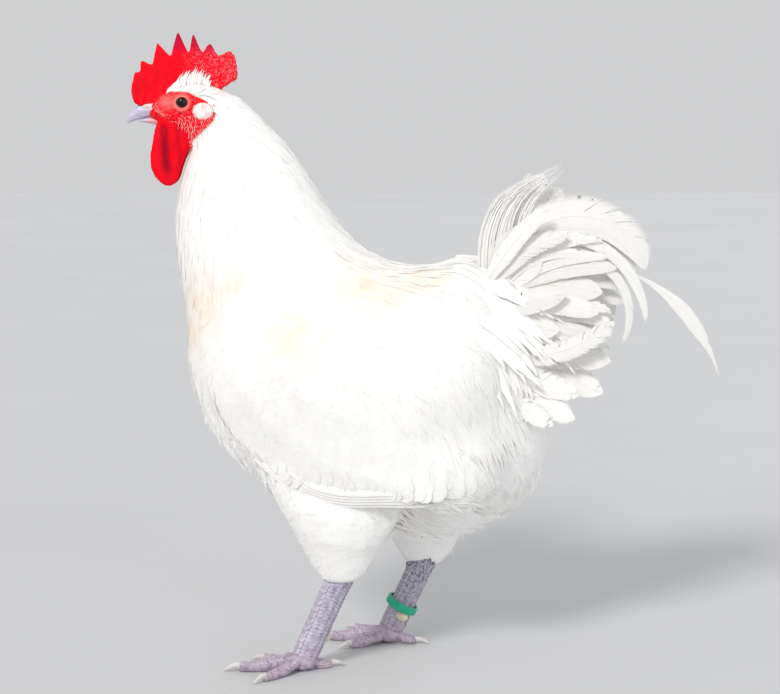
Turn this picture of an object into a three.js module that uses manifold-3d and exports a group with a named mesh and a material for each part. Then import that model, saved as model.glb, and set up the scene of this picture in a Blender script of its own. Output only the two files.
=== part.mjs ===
// A standing cock of a white, blue-legged table breed, life size, as a still museum model.
// Millimetres, +Z up. The bird faces -X, its left side is -Y, and the floor is z = 0.
import * as THREE from "three";
import { mergeVertices } from "three/addons/utils/BufferGeometryUtils.js";
import Module from "manifold-3d";

const wasm = await Module();
wasm.setup();

// ---- driving dimensions -----------------------------------------------------------------

const GAP = 0.3; // between pieces that touch
const REACH = 700; // larger than the bird, for the boxes that cut it

// Cross-sections from the nape to the vent: upper and lower point in the side view, half width.
const BODY = [
  { top: [-141, 437], bottom: [-160, 408], half: 11 },
  { top: [-127, 438], bottom: [-159, 396], half: 17 },
  { top: [-104, 418], bottom: [-167, 369], half: 26 },
  { top: [-83, 396], bottom: [-171, 341], half: 34 },
  { top: [-62, 363], bottom: [-169, 310], half: 43 },
  { top: [-42, 334], bottom: [-163, 272], half: 54 },
  { top: [-19, 315], bottom: [-162, 228], half: 67 },
  { top: [6, 308], bottom: [-152, 192], half: 76 },
  { top: [31, 309], bottom: [-122, 154], half: 79 },
  { top: [52, 316], bottom: [-78, 122], half: 77 },
  { top: [71, 305], bottom: [-22, 101], half: 70 },
  { top: [86, 277], bottom: [31, 95], half: 60 },
  { top: [98, 246], bottom: [74, 113], half: 46 },
  { top: [108, 208], bottom: [101, 136], half: 29 },
  { top: [113, 180], bottom: [112, 160], half: 9 },
];

// The same for the head, from the root of the beak to inside the neck.
const HEAD = [
  { top: [-190, 430], bottom: [-188, 419], half: 4.5 },
  { top: [-183, 435], bottom: [-182, 415], half: 9.5 },
  { top: [-174, 441], bottom: [-173, 410], half: 13.5 },
  { top: [-163, 445], bottom: [-165, 405], half: 16 },
  { top: [-151, 446], bottom: [-159, 399], half: 17.5 },
  { top: [-138, 443], bottom: [-158, 391], half: 18.5 },
  { top: [-126, 434], bottom: [-158, 384], half: 18 },
];

const NAPE_CUT = { at: [-127, 0, 441], to: [-163, 0, 386] };
const SHOULDER_CUT = { at: [-40, 0, 333], to: [-165, 0, 262] };

const EYE = { x: -163.3, y: 8.6, z: 431.5, radius: 7.5 };
const EARLOBE = { x: -147.5, y: 17.2, z: 425, radii: [7.1, 2.8, 5.7] };

const BEAK_UPPER = [
  { top: [-184, 433], bottom: [-180, 421.5], half: 8 },
  { top: [-194, 431], bottom: [-187, 421], half: 6.2 },
  { top: [-200.5, 428], bottom: [-194, 419.6], half: 4.6 },
  { top: [-204.6, 423.8], bottom: [-199.5, 418.2], half: 3 },
  { top: [-206.3, 419.4], bottom: [-204.2, 416.6], half: 1.3 },
  { top: [-206.7, 416.6], bottom: [-206, 415.6], half: 0.4 },
];
const BEAK_LOWER = [
  { top: [-180, 422], bottom: [-179, 413.4], half: 6.6 },
  { top: [-187, 420.8], bottom: [-185.5, 415], half: 5 },
  { top: [-193, 419.6], bottom: [-192, 416.2], half: 3.2 },
  { top: [-197.4, 418.2], bottom: [-197, 417], half: 0.8 },
];

// The comb's outline, clockwise from the front of its foot: spikes and the notches between them.
const COMB = {
  foot: [
    [-184.5, 429],
    [-177, 435],
    [-168, 440],
    [-155, 443],
    [-143, 443.5],
    [-136, 441.5],
  ],
  front: [
    [-196.4, 428.7],
    [-200.9, 433],
    [-202.7, 440],
    [-202, 447],
    [-200.3, 454.2],
  ],
  spikes: [
    { notch: [-196, 454.2], tip: [-195.3, 463.6] },
    { notch: [-186.8, 459], tip: [-183, 476.4] },
    { notch: [-172.9, 465.6], tip: [-167.4, 485.6] },
    { notch: [-159.1, 467.2], tip: [-155.9, 484.5] },
    { notch: [-149.5, 468], tip: [-143.2, 476] },
  ],
  heel: [
    [-137.3, 466.4],
    [-132, 468.4],
    [-127.8, 469.9],
    [-123.8, 464.6],
    [-122.8, 456],
    [-123, 449.4],
    [-128.9, 445.9],
  ],
  footThickness: 10,
  tipThickness: 2.6,
  taper: 0.7, // below 1 it thins early
  bevel: 0.9, // of its rim
  belly: 0.8, // how far the front edge of a spike bows out
};

// Wattles: front and rear edge at a height, half thickness, and the distance from the mid-plane.
const WATTLE = [
  { z: 419, front: -182, rear: -158, half: 4.5, out: 8 },
  { z: 411, front: -185, rear: -152, half: 5, out: 8.4 },
  { z: 401, front: -187, rear: -157, half: 4.6, out: 9 },
  { z: 390, front: -188.5, rear: -162.5, half: 4.2, out: 9.6 },
  { z: 380, front: -187.5, rear: -166, half: 3.8, out: 10 },
  { z: 373, front: -182.5, rear: -168.5, half: 3, out: 10.2 },
  { z: 369.4, front: -177.5, rear: -172.5, half: 1.2, out: 10.2 },
];

// The folded wing seen from the side, from the wrist along the lower edge to the tip and back.
const WING = {
  outline: [
    [-143, 224],
    [-136, 199],
    [-120, 177],
    [-96, 159],
    [-70, 145.5],
    [-45, 139],
    [-11, 139],
    [27, 137],
    [24, 158],
    [10, 196],
    [-14, 240],
    [-50, 268],
    [-90, 278],
    [-123, 266],
    [-138, 246],
  ],
  wrist: { x: -143, thickness: 3 },
  middle: { x: -60, thickness: 10 },
  hang: { top: 200, bottom: 138, thickness: 9 },
  cutFrom: 20, // the cut that gives the outline starts this far out from the mid-plane
};

// Thigh, shank and foot of each side. The left leg is forward.
const THIGH = [
  { front: [-112, 182], rear: [8, 150], half: 30, out: -6 },
  { front: [-104, 152], rear: [0, 122], half: 31, out: -3 },
  { front: [-87, 121], rear: [-12, 101], half: 26, out: 0 },
  { front: [-75, 98], rear: [-19, 93], half: 19, out: 0 },
  { front: [-66, 82], rear: [-21, 85], half: 14, out: 0 },
  { front: [-60, 74], rear: [-28, 76], half: 10.5, out: 0 },
  { front: [-56, 71], rear: [-34, 71], half: 8.5, out: 0 },
];
const LEGS = {
  left: { side: -1, shift: [0, 0], hock: [-40, -37, 86], ankle: [-73, -38, 12], thighOut: 40, spurBehind: 6 },
  right: { side: 1, shift: [65, -6], hock: [25, 34, 82], ankle: [-7, 36, 12], thighOut: 38, spurBehind: 0.5 },
};
// Half width and half depth of the shank, and how much each adds up to where over the length.
const SHANK = {
  middle: [7.2, 9.5],
  hock: { more: [2.6, 2.6], reach: 0.16 },
  ankle: { more: [1.2, 0.2], reach: 0.14 },
};

// Toes: turn from straight ahead towards the outside, length to the claw, radius, claw length.
const TOES = [
  { name: "inner", turn: -30, length: 37, radius: 4.1, claw: 12, pads: 2 },
  { name: "middle", turn: 6, length: 50, radius: 4.5, claw: 13, pads: 3 },
  { name: "outer", turn: 46, length: 42, radius: 4, claw: 11, pads: 3 },
  { name: "hind", turn: -164, length: 21, radius: 3.6, claw: 11, pads: 1 },
];
const TOE = { rootHeight: 11, archHeight: 7, sink: 0.5, root: 1.25, taper: 0.4, padSwell: 0.1, flat: 0.96 };
const PALM = { radii: [10.5, 9, 8.5], ahead: 1, height: 7.6 };
const CLAW = { wide: 0.72, high: 0.8, point: 0.3, hidden: 0.25, lowPoint: 3, tipHeight: 1.1 };
const SPUR = { along: 0.82, length: 12, radius: 5, droop: 2, inside: 2, back: 0.5, in: 0.86 };
const BAND = { along: 0.72, inner: 11.5, wall: 1.6, height: 6.4, corner: 0.6, tilt: 4 };

// Tail feathers in the side view: root, direction at the root and how far it turns down along
// its length (degrees), how late it turns (curl), length, width, distance from the mid-plane.
const FAN = {
  count: 5, root: [62, 284], from: 66, to: 4, turn: 12, curl: 1.3, length: 96, shorter: 0.12, width: 29,
  firstLane: 1.6, laneStep: 1.8, along: 3,
};
const TUFTS = [
  { root: [66, 308], rise: 108, turn: 92, curl: 0.66, length: 104, width: 10, lane: 3 },
  { root: [68, 306], rise: 84, turn: 56, curl: 1.06, length: 90, width: 13, lane: 5 },
];
const PLUMES = [
  { root: [76, 297], rise: 79, turn: 156, curl: 1.1, length: 153, width: 27, lane: 19 },
  { root: [78, 298], rise: 96, turn: 182, curl: 0.66, length: 160, width: 11, lane: 22 },
  { root: [78, 292], rise: 59, turn: 177, curl: 1.1, length: 153, width: 8, lane: 25 },
  { root: [70, 288], rise: 31, turn: 60, curl: 2.2, length: 84, width: 22, lane: 27 },
  { root: [66, 278], rise: 10, turn: 44, curl: 3, length: 99, width: 21, lane: 24 },
  { root: [62, 246], rise: -18, turn: -48, curl: 0.6, length: 108, width: 24, lane: 27 },
  { root: [62, 262], rise: -5, turn: 27, curl: 1.2, length: 102, width: 30, lane: 21 },
  { root: [60, 246], rise: 3, turn: 31, curl: 0.4, length: 96, width: 26, lane: 24 },
  { root: [50, 232], rise: 7, turn: 45, curl: 0.4, length: 90, width: 33, lane: 30 },
];
const STREAMER = { root: [80, 296], rise: 40, turn: 114, curl: 0.8, length: 207, width: 13, lane: 17 };
const FEATHER = { thickness: 1.6, spread: 0.3, lean: 0.25, steps: 20, along: 6 };
const TAIL_ROOT = {
  fan: { radii: [30, 12, 30], centre: [78, 0, 282], tilt: 0 },
  side: { radii: [17, 12, 64], centre: [90, 22, 254], tilt: -17 },
};

const COLOURS = {
  plumage: { color: 0xf4f1ea, roughness: 0.75 },
  flesh: { color: 0xc4121f, roughness: 0.5 },
  lobe: { color: 0xf6ece8, roughness: 0.6 },
  horn: { color: 0xc9c6d2, roughness: 0.4 },
  spur: { color: 0xe8dcc0, roughness: 0.45 },
  scales: { color: 0x8d8fa6, roughness: 0.55 },
  eye: { color: 0x2a0f08, roughness: 0.1 },
  ring: { color: 0x0a9a72, roughness: 0.35 },
};

// ---- solids -----------------------------------------------------------------------------

// Positions only, with shared corners merged, as a closed surface.
function skinOf(geometry) {
  const bare = geometry.clone();
  bare.deleteAttribute("normal");
  bare.deleteAttribute("uv");
  bare.clearGroups();
  return mergeVertices(bare, 1e-4);
}

// The signed volume tells whether the faces point out, and a shell that points in is turned.
function facingOut(skin) {
  const at = skin.attributes.position;
  const corners = skin.index.array;
  const [a, b, c] = [new THREE.Vector3(), new THREE.Vector3(), new THREE.Vector3()];
  let volume = 0;
  for (let i = 0; i < corners.length; i += 3) {
    a.fromBufferAttribute(at, corners[i]);
    b.fromBufferAttribute(at, corners[i + 1]);
    c.fromBufferAttribute(at, corners[i + 2]);
    volume += a.dot(b.cross(c));
  }
  if (volume < 0) {
    for (let i = 0; i < corners.length; i += 3) {
      [corners[i], corners[i + 1]] = [corners[i + 1], corners[i]];
    }
  }
  return skin;
}

function solid(geometry) {
  const skin = facingOut(skinOf(geometry));
  const mesh = new wasm.Mesh({
    numProp: 3,
    vertProperties: new Float32Array(skin.attributes.position.array),
    triVerts: new Uint32Array(skin.index.array),
  });
  return new wasm.Manifold(mesh);
}

function geometryOf(manifold) {
  const mesh = manifold.getMesh();
  const geometry = new THREE.BufferGeometry();
  const corners = new Float32Array(mesh.numVert * 3);
  for (let i = 0; i < mesh.numVert; i++) {
    corners.set(mesh.vertProperties.subarray(i * mesh.numProp, i * mesh.numProp + 3), i * 3);
  }
  geometry.setAttribute("position", new THREE.BufferAttribute(corners, 3));
  geometry.setIndex(new THREE.BufferAttribute(mesh.triVerts, 1));
  geometry.computeVertexNormals();
  return geometry;
}

// The outward normals of the faces that meet at each corner.
function facesRound({ attributes, index }) {
  const round = Array.from({ length: attributes.position.count }, () => []);
  const corner = (i) => new THREE.Vector3().fromBufferAttribute(attributes.position, index.getX(i));
  for (let i = 0; i < index.count; i += 3) {
    const face = new THREE.Triangle(corner(i), corner(i + 1), corner(i + 2));
    const normal = face.getNormal(new THREE.Vector3());
    for (let j = i; j < i + 3; j++) {
      round[index.getX(j)].push(normal);
    }
  }
  return round;
}

// A copy whose faces have all moved out by a distance, which may depend on the place.
function grown(manifold, by) {
  const geometry = geometryOf(manifold);
  const round = facesRound(geometry);
  let next = 0;
  reshaped(geometry, (p) => {
    const distance = typeof by === "function" ? by(p) : by;
    const faces = round[next++];
    const step = new THREE.Vector3();
    for (let pass = 0; pass < 12; pass++) {
      for (const normal of faces) {
        step.addScaledVector(normal, Math.max(0, distance - step.dot(normal)));
      }
    }
    return p.add(step.clampLength(0, distance * 2.5));
  });
  return solid(geometry);
}

const clearOf = (piece, ...neighbours) =>
  neighbours.reduce((left, neighbour) => left.subtract(grown(neighbour, GAP)), piece);

const joined = (pieces) => pieces.reduce((whole, piece) => whole.add(piece));

// A cut can leave crumbs, and the largest body is the piece.
function largest(manifold) {
  return manifold.decompose().sort((a, b) => b.volume() - a.volume())[0];
}

// All that lies beyond a plane, as a large box.
function beyond(point, direction) {
  const way = new THREE.Vector3(...direction).normalize();
  const box = new THREE.BoxGeometry(REACH, REACH, REACH);
  box.translate(REACH / 2 + GAP / 2, 0, 0);
  box.applyQuaternion(new THREE.Quaternion().setFromUnitVectors(new THREE.Vector3(1, 0, 0), way));
  box.translate(...point);
  return solid(box);
}

const aboveFloor = solid(new THREE.BoxGeometry(REACH, REACH, REACH).translate(0, 0, REACH / 2));

// ---- shapes -----------------------------------------------------------------------------

// Gives each corner of a geometry a new place.
function reshaped(geometry, move) {
  const at = geometry.attributes.position;
  const place = new THREE.Vector3();
  for (let i = 0; i < at.count; i++) {
    place.fromBufferAttribute(at, i);
    const moved = move(place.clone());
    at.setXYZ(i, moved.x, moved.y, moved.z);
  }
  return geometry;
}

const smoothLine = (points) => new THREE.CatmullRomCurve3(points);
const inSideView = ([x, z]) => new THREE.Vector3(x, 0, z);

// A body swept through cross-sections: keel narrows the lower half, y moves the middle out.
function swept(sections, { around, along, keel = 0, square = 1, y = () => 0 }) {
  const upper = smoothLine(sections.map((s) => inSideView(s.top)));
  const lower = smoothLine(sections.map((s) => inSideView(s.bottom)));
  const width = smoothLine(sections.map((s) => new THREE.Vector3(s.half, 0, 0)));
  return reshaped(new THREE.CylinderGeometry(1, 1, 1, around, along), (p) => {
    const t = 0.5 - p.y;
    const [top, bottom] = [upper.getPoint(t), lower.getPoint(t)];
    const middle = top.clone().lerp(bottom, 0.5);
    const side = Math.sign(p.x) * Math.abs(p.x) ** square;
    const narrow = 1 - keel * Math.max(0, -p.z) ** 2;
    middle.addScaledVector(top.sub(bottom), p.z / 2);
    middle.y = y(t) + side * width.getPoint(t).x * narrow;
    return middle;
  });
}

// A limb along a line, with a radius sideways and one in its own upward direction.
function limb(points, radii, { around = 12, along = 10, up = [0, 0, 1] } = {}) {
  const line = smoothLine(points.map((p) => new THREE.Vector3(...p)));
  const upward = new THREE.Vector3(...up);
  return reshaped(new THREE.CylinderGeometry(1, 1, 1, around, along), (p) => {
    const t = 0.5 - p.y;
    const tangent = line.getTangent(t);
    const side = new THREE.Vector3().crossVectors(upward, tangent).normalize();
    const over = new THREE.Vector3().crossVectors(tangent, side);
    const [wide, high] = radii(t);
    return line.getPoint(t).addScaledVector(side, p.x * wide).addScaledVector(over, p.z * high);
  });
}

// The line of a tail feather in the side view: it leaves its root at the angle rise and turns.
function plumeLine({ root, rise, turn, curl, length }) {
  const step = length / FEATHER.steps;
  const points = [inSideView(root)];
  for (let i = 0; i < FEATHER.steps; i++) {
    const angle = THREE.MathUtils.degToRad(rise - turn * ((i + 0.5) / FEATHER.steps) ** curl);
    const onward = new THREE.Vector3(step, 0, 0).applyAxisAngle(new THREE.Vector3(0, -1, 0), angle);
    points.push(onward.add(points[i]));
  }
  return smoothLine(points);
}

const roundTip = (t) => Math.min(1, 0.35 + 1.5 * t) * Math.sqrt(Math.max(0.01, 1 - t ** 6));
const ribbonTip = (t) => 0.14 + 0.86 * Math.exp(-(((t - 0.72) / 0.13) ** 2));

// A feather as a thin blade, flat side out: its tip lies further out than its root, and its
// lower edge further out than its upper one.
function blade(feather, side, profile = roundTip, along = FEATHER.along) {
  const line = plumeLine(feather);
  return solid(
    reshaped(new THREE.BoxGeometry(1, 1, 1, along, 1, 1), (p) => {
      const t = (p.x + 0.5) ** 0.8;
      const place = line.getPoint(t);
      const tangent = line.getTangent(t);
      const across = p.y * feather.width * profile(t);
      place.addScaledVector(new THREE.Vector3(-tangent.z, 0, tangent.x), across);
      const lane = feather.lane * (1 + FEATHER.spread * t) - across * FEATHER.lean;
      place.y = side * (lane + p.z * FEATHER.thickness);
      return place;
    }),
  );
}

// ---- trunk, neck and head ---------------------------------------------------------------

const bodyForm = solid(swept(BODY, { around: 18, along: 24, keel: 0.12, square: 0.94 }));
const headForm = solid(swept(HEAD, { around: 14, along: 9, keel: 0.1, square: 0.94 }));
const wholeBody = bodyForm.add(headForm);

// The direction across a cut, in the side view, towards the tail.
function towardsTail({ at, to }) {
  return [at[2] - to[2], 0, to[0] - at[0]];
}
const towardsBeak = (cut) => towardsTail(cut).map((v) => -v);

const headWhole = wholeBody.intersect(beyond(NAPE_CUT.at, towardsBeak(NAPE_CUT)));
const neck = wholeBody
  .intersect(beyond(NAPE_CUT.at, towardsTail(NAPE_CUT)))
  .intersect(beyond(SHOULDER_CUT.at, towardsBeak(SHOULDER_CUT)));
const trunk = wholeBody.intersect(beyond(SHOULDER_CUT.at, towardsTail(SHOULDER_CUT)));

const eyeball = (side) =>
  solid(new THREE.SphereGeometry(EYE.radius, 12, 7).translate(EYE.x, side * EYE.y, EYE.z));
const eyes = { left: eyeball(-1), right: eyeball(1) };
const head = clearOf(headWhole, eyes.left, eyes.right);

function earlobe(side) {
  const button = new THREE.SphereGeometry(1, 10, 6).scale(...EARLOBE.radii);
  return largest(clearOf(solid(button.translate(EARLOBE.x, side * EARLOBE.y, EARLOBE.z)), headWhole));
}

const beakUpper = largest(clearOf(solid(swept(BEAK_UPPER, { around: 8, along: 6, square: 0.9 })), headWhole));
const beakLower = largest(
  clearOf(solid(swept(BEAK_LOWER, { around: 8, along: 4, square: 0.9 })), headWhole, beakUpper),
);

// A single upright comb: its outline extruded, thick at the foot and thin at the spikes.
function comb() {
  const outline = new THREE.Shape();
  outline.moveTo(...COMB.foot[0]);
  outline.splineThru(COMB.front.map((p) => new THREE.Vector2(...p)));
  for (const { notch, tip } of COMB.spikes) {
    outline.lineTo(...notch);
    const shoulder = [(notch[0] + tip[0]) / 2 - COMB.belly, (notch[1] + tip[1]) / 2];
    outline.quadraticCurveTo(...shoulder, ...tip);
  }
  outline.lineTo(...COMB.heel[0]);
  outline.splineThru([...COMB.heel.slice(1), COMB.foot.at(-1)].map((p) => new THREE.Vector2(...p)));
  outline.splineThru(COMB.foot.slice(0, -1).reverse().map((p) => new THREE.Vector2(...p)));
  const blank = new THREE.ExtrudeGeometry(outline, {
    depth: 0.5,
    steps: 1,
    curveSegments: 2,
    bevelEnabled: true,
    bevelThickness: 0.25,
    bevelSize: COMB.bevel,
    bevelOffset: -COMB.bevel,
    bevelSegments: 1,
  });
  const low = COMB.foot[0][1];
  const high = COMB.spikes[2].tip[1];
  return solid(
    reshaped(blank, (p) => {
      const rise = THREE.MathUtils.clamp((p.y - low) / (high - low), 0, 1);
      const thickness = THREE.MathUtils.lerp(COMB.footThickness, COMB.tipThickness, rise ** COMB.taper);
      return new THREE.Vector3(p.x, (0.25 - p.z) * thickness, p.y);
    }),
  );
}

function wattle(side) {
  const sections = WATTLE.map((w) => ({ top: [w.front, w.z], bottom: [w.rear, w.z], half: w.half }));
  const out = smoothLine(WATTLE.map((w) => new THREE.Vector3(w.out, 0, 0)));
  const flap = swept(sections, { around: 8, along: 8, y: (t) => side * out.getPoint(t).x });
  return largest(clearOf(solid(flap), headWhole, neck, beakLower));
}

// ---- legs -------------------------------------------------------------------------------

function thigh({ side, shift, thighOut }) {
  const moved = ([x, z]) => [x + shift[0], z + shift[1]];
  const sections = THIGH.map((s) => ({ top: moved(s.front), bottom: moved(s.rear), half: s.half }));
  const out = smoothLine(THIGH.map((s) => new THREE.Vector3(s.out, 0, 0)));
  const drum = swept(sections, { around: 14, along: 8, y: (t) => side * (thighOut + out.getPoint(t).x) });
  return largest(clearOf(solid(drum), trunk));
}

const alongShank = ({ hock, ankle }, t) => hock.map((v, i) => v + (ankle[i] - v) * t);

// Deep and narrow, swollen at the hock and at the root of the toes.
function shank(leg, thighPiece) {
  const { middle, hock, ankle } = SHANK;
  const radii = (t) => {
    const atHock = Math.exp(-((t / hock.reach) ** 2));
    const atAnkle = Math.exp(-(((t - 1) / ankle.reach) ** 2));
    return middle.map((radius, i) => radius + hock.more[i] * atHock + ankle.more[i] * atAnkle);
  };
  const line = [leg.hock, alongShank(leg, 0.5), leg.ankle];
  return largest(clearOf(solid(limb(line, radii, { around: 10, along: 6 })), thighPiece));
}

// The way a toe points on the floor: turn is from straight ahead, towards the bird's outside.
function toeWay(side, turn) {
  const angle = THREE.MathUtils.degToRad(turn);
  return new THREE.Vector3(-Math.cos(angle), side * Math.sin(angle), 0);
}

function toeLine({ ankle, side }, toe) {
  const start = new THREE.Vector3(ankle[0], ankle[1], TOE.rootHeight);
  const at = (share, z) => start.clone().addScaledVector(toeWay(side, toe.turn), toe.length * share).setZ(z);
  const low = toe.radius - TOE.sink;
  return [start, at(0.3, TOE.archHeight), at(0.62, low), at(1, low)];
}

function foot(leg, shankPiece) {
  const toes = TOES.map((toe) => {
    const radii = (t) => {
      const pad = 1 + TOE.padSwell * Math.cos(2 * Math.PI * (toe.pads + 0.5) * t);
      const size = toe.radius * (TOE.root - TOE.taper * t) * pad;
      return [size, size * TOE.flat];
    };
    return solid(limb(toeLine(leg, toe).map((p) => p.toArray()), radii, { around: 8, along: 5 }));
  });
  const ball = new THREE.SphereGeometry(1, 8, 5).scale(...PALM.radii);
  const palm = solid(ball.translate(leg.ankle[0] - PALM.ahead, leg.ankle[1], PALM.height));
  return largest(clearOf(joined([palm, ...toes]).intersect(aboveFloor), shankPiece));
}

// A claw curves down from the end of its toe, and its point clears the floor.
function claw(leg, toe, footPiece) {
  const end = toeLine(leg, toe)[3];
  const way = toeWay(leg.side, toe.turn);
  const at = (share, z) => end.clone().addScaledVector(way, toe.claw * share).setZ(z).toArray();
  const radii = (t) => [CLAW.wide, CLAW.high].map((share) => toe.radius * share * (1 - t) + CLAW.point);
  const line = [
    at(-CLAW.hidden, toe.radius),
    at(0.25, toe.radius + 0.5),
    at(0.7, CLAW.lowPoint),
    at(1, CLAW.tipHeight),
  ];
  return largest(clearOf(solid(limb(line, radii, { around: 5, along: 3 })), footPiece));
}

// A blunt spur on the inner side of the shank, pointing inwards and back.
function spur(leg, shankPiece) {
  const root = alongShank(leg, SPUR.along);
  const at = (share) => [
    root[0] + leg.spurBehind + SPUR.length * share * SPUR.back,
    root[1] - leg.side * (SPUR.inside + SPUR.length * share * SPUR.in),
    root[2] - SPUR.droop * share,
  ];
  const radii = (t) => Array(2).fill(SPUR.radius * Math.sqrt(1.04 - t * t));
  const bud = limb([at(0), at(0.5), at(1)], radii, { around: 8, along: 4 });
  return largest(clearOf(solid(bud), shankPiece));
}

// A plain ring, loose on the right shank, that hangs askew.
function legBand(leg) {
  const { inner, wall, height, corner, tilt } = BAND;
  const profile = [
    [inner, -height / 2 + corner],
    [inner + corner, -height / 2],
    [inner + wall, -height / 2 + corner],
    [inner + wall, height / 2 - corner],
    [inner + corner, height / 2],
    [inner, height / 2 - corner],
    [inner, -height / 2 + corner],
  ];
  const ring = new THREE.LatheGeometry(profile.map((p) => new THREE.Vector2(...p)), 20);
  const axis = new THREE.Vector3(...leg.hock).sub(new THREE.Vector3(...leg.ankle)).normalize();
  ring.applyQuaternion(new THREE.Quaternion().setFromUnitVectors(new THREE.Vector3(0, 1, 0), axis));
  ring.rotateY(THREE.MathUtils.degToRad(tilt));
  return solid(ring.translate(...alongShank(leg, BAND.along)));
}

// ---- wings ------------------------------------------------------------------------------

// The wing hugs the trunk: thin at the wrist, thick in the middle, proud at its lower edge.
function wing(side, thighPiece) {
  const outline = new THREE.Shape();
  outline.moveTo(...WING.outline[0]);
  outline.splineThru(WING.outline.slice(1).map((p) => new THREE.Vector2(...p)));
  const cut = { depth: REACH / 2, bevelEnabled: false, curveSegments: 3 };
  const prism = new THREE.ExtrudeGeometry(outline, cut);
  reshaped(prism, (p) => new THREE.Vector3(p.x, side * (WING.cutFrom + p.z), p.y));
  const thickness = ({ x, z }) => {
    const inwards = THREE.MathUtils.smoothstep(x, WING.wrist.x, WING.middle.x);
    const hanging = 1 - THREE.MathUtils.smoothstep(z, WING.hang.bottom, WING.hang.top);
    const flat = THREE.MathUtils.lerp(WING.wrist.thickness, WING.middle.thickness, inwards);
    return flat + WING.hang.thickness * hanging * inwards;
  };
  const cover = grown(bodyForm, thickness).intersect(solid(prism));
  return largest(clearOf(cover, wholeBody, thighPiece));
}

// ---- tail -------------------------------------------------------------------------------

// The flesh that the feathers stand on.
function tailRoot({ radii, centre, tilt }, side) {
  const root = new THREE.SphereGeometry(1, 12, 8).scale(...radii);
  root.rotateY(THREE.MathUtils.degToRad(tilt));
  return solid(root.translate(centre[0], side * centre[1], centre[2]));
}

// The main feathers stand in two fans, back to back, under a few frayed tufts.
function tailFan() {
  const blades = TUFTS.map((tuft) => blade({ ...tuft, lane: -tuft.lane }, -1));
  for (const side of [-1, 1]) {
    for (let i = 0; i < FAN.count; i++) {
      const share = i / (FAN.count - 1);
      const rise = THREE.MathUtils.lerp(FAN.from, FAN.to, share);
      const length = FAN.length * (1 - FAN.shorter * share);
      const lane = FAN.firstLane + FAN.laneStep * (i % 3);
      blades.push(blade({ ...FAN, rise, length, lane }, side, roundTip, FAN.along));
    }
  }
  return largest(clearOf(joined([tailRoot(TAIL_ROOT.fan, 1), ...blades]), trunk));
}

// Sickles and coverts of one side. No two sides are alike, so shift turns and shortens them.
function tailSide(side, fan, { shift = 0, extra = [] }) {
  const blades = PLUMES.map((feather, i) => {
    const rise = feather.rise + shift * 5 * Math.sin(2.3 * i + 1);
    const length = feather.length * (1 - shift * 0.06 * (1 + Math.sin(3.1 * i)));
    return blade({ ...feather, rise, length }, side);
  });
  return largest(clearOf(joined([tailRoot(TAIL_ROOT.side, side), ...blades, ...extra]), trunk, fan));
}

// ---- the bird ---------------------------------------------------------------------------

const bird = new THREE.Group();

function place(name, manifold, look) {
  const mesh = new THREE.Mesh(geometryOf(manifold), new THREE.MeshStandardMaterial(COLOURS[look]));
  mesh.name = name;
  bird.add(mesh);
}

place("head", head, "flesh");
place("neck", neck, "plumage");
place("trunk", trunk, "plumage");
place("comb", largest(clearOf(comb(), headWhole, beakUpper, neck)), "flesh");
place("beak_upper", beakUpper, "horn");
place("beak_lower", beakLower, "horn");

for (const [name, side] of [["left", -1], ["right", 1]]) {
  place(`eye_${name}`, eyes[name], "eye");
  place(`earlobe_${name}`, earlobe(side), "lobe");
  place(`wattle_${name}`, wattle(side), "flesh");
}

for (const [name, leg] of Object.entries(LEGS)) {
  const thighPiece = thigh(leg);
  const shankPiece = shank(leg, thighPiece);
  const footPiece = foot(leg, shankPiece);
  place(`thigh_${name}`, thighPiece, "plumage");
  place(`wing_${name}`, wing(leg.side, thighPiece), "plumage");
  place(`shank_${name}`, shankPiece, "scales");
  place(`foot_${name}`, footPiece, "scales");
  place(`spur_${name}`, spur(leg, shankPiece), "spur");
  for (const toe of TOES) {
    place(`claw_${name}_${toe.name}`, claw(leg, toe, footPiece), "horn");
  }
}
place("leg_band", legBand(LEGS.right), "ring");

const fan = tailFan();
place("tail_fan", fan, "plumage");
place("tail_left", tailSide(-1, fan, { extra: [blade(STREAMER, -1, ribbonTip, 12)] }), "plumage");
place("tail_right", tailSide(1, fan, { shift: 1 }), "plumage");

// The origin is on the floor under the middle of the bird's box.
const box = new THREE.Box3().setFromObject(bird);
const middle = box.getCenter(new THREE.Vector3());
bird.position.set(-middle.x, -middle.y, -box.min.z);

export default bird;
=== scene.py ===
from math import atan2, cos, degrees, hypot, radians, sin, sqrt, tau

import bmesh
import bpy
import numpy as np
from mathutils import Matrix, Vector, noise
from mathutils.bvhtree import BVHTree
from mathutils.kdtree import KDTree


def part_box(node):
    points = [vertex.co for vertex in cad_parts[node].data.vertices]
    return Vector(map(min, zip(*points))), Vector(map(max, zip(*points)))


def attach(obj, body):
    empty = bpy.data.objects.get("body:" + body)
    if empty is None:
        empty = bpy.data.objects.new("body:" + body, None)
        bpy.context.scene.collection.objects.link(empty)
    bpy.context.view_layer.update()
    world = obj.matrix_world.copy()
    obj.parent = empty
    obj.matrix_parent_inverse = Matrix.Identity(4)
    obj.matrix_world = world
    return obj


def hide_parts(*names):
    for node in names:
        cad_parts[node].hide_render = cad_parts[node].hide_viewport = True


# A standing white cock, life size. Shapes are worked out in millimetres in the bird's own frame:
# it faces -X, its left side is -Y and the floor is z = 0. Each finished mesh is then put into
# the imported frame, in metres.

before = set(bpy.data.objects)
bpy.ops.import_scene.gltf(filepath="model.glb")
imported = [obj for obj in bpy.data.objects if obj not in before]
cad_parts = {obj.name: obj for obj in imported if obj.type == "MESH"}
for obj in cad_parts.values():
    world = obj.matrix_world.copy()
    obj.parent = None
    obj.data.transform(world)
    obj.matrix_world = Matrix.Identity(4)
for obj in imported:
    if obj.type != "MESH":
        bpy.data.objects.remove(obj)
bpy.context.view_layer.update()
scene = bpy.context.scene
rng = np.random.default_rng(7)
mm = 0.001
sides = {"left": -1, "right": 1}

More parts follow.
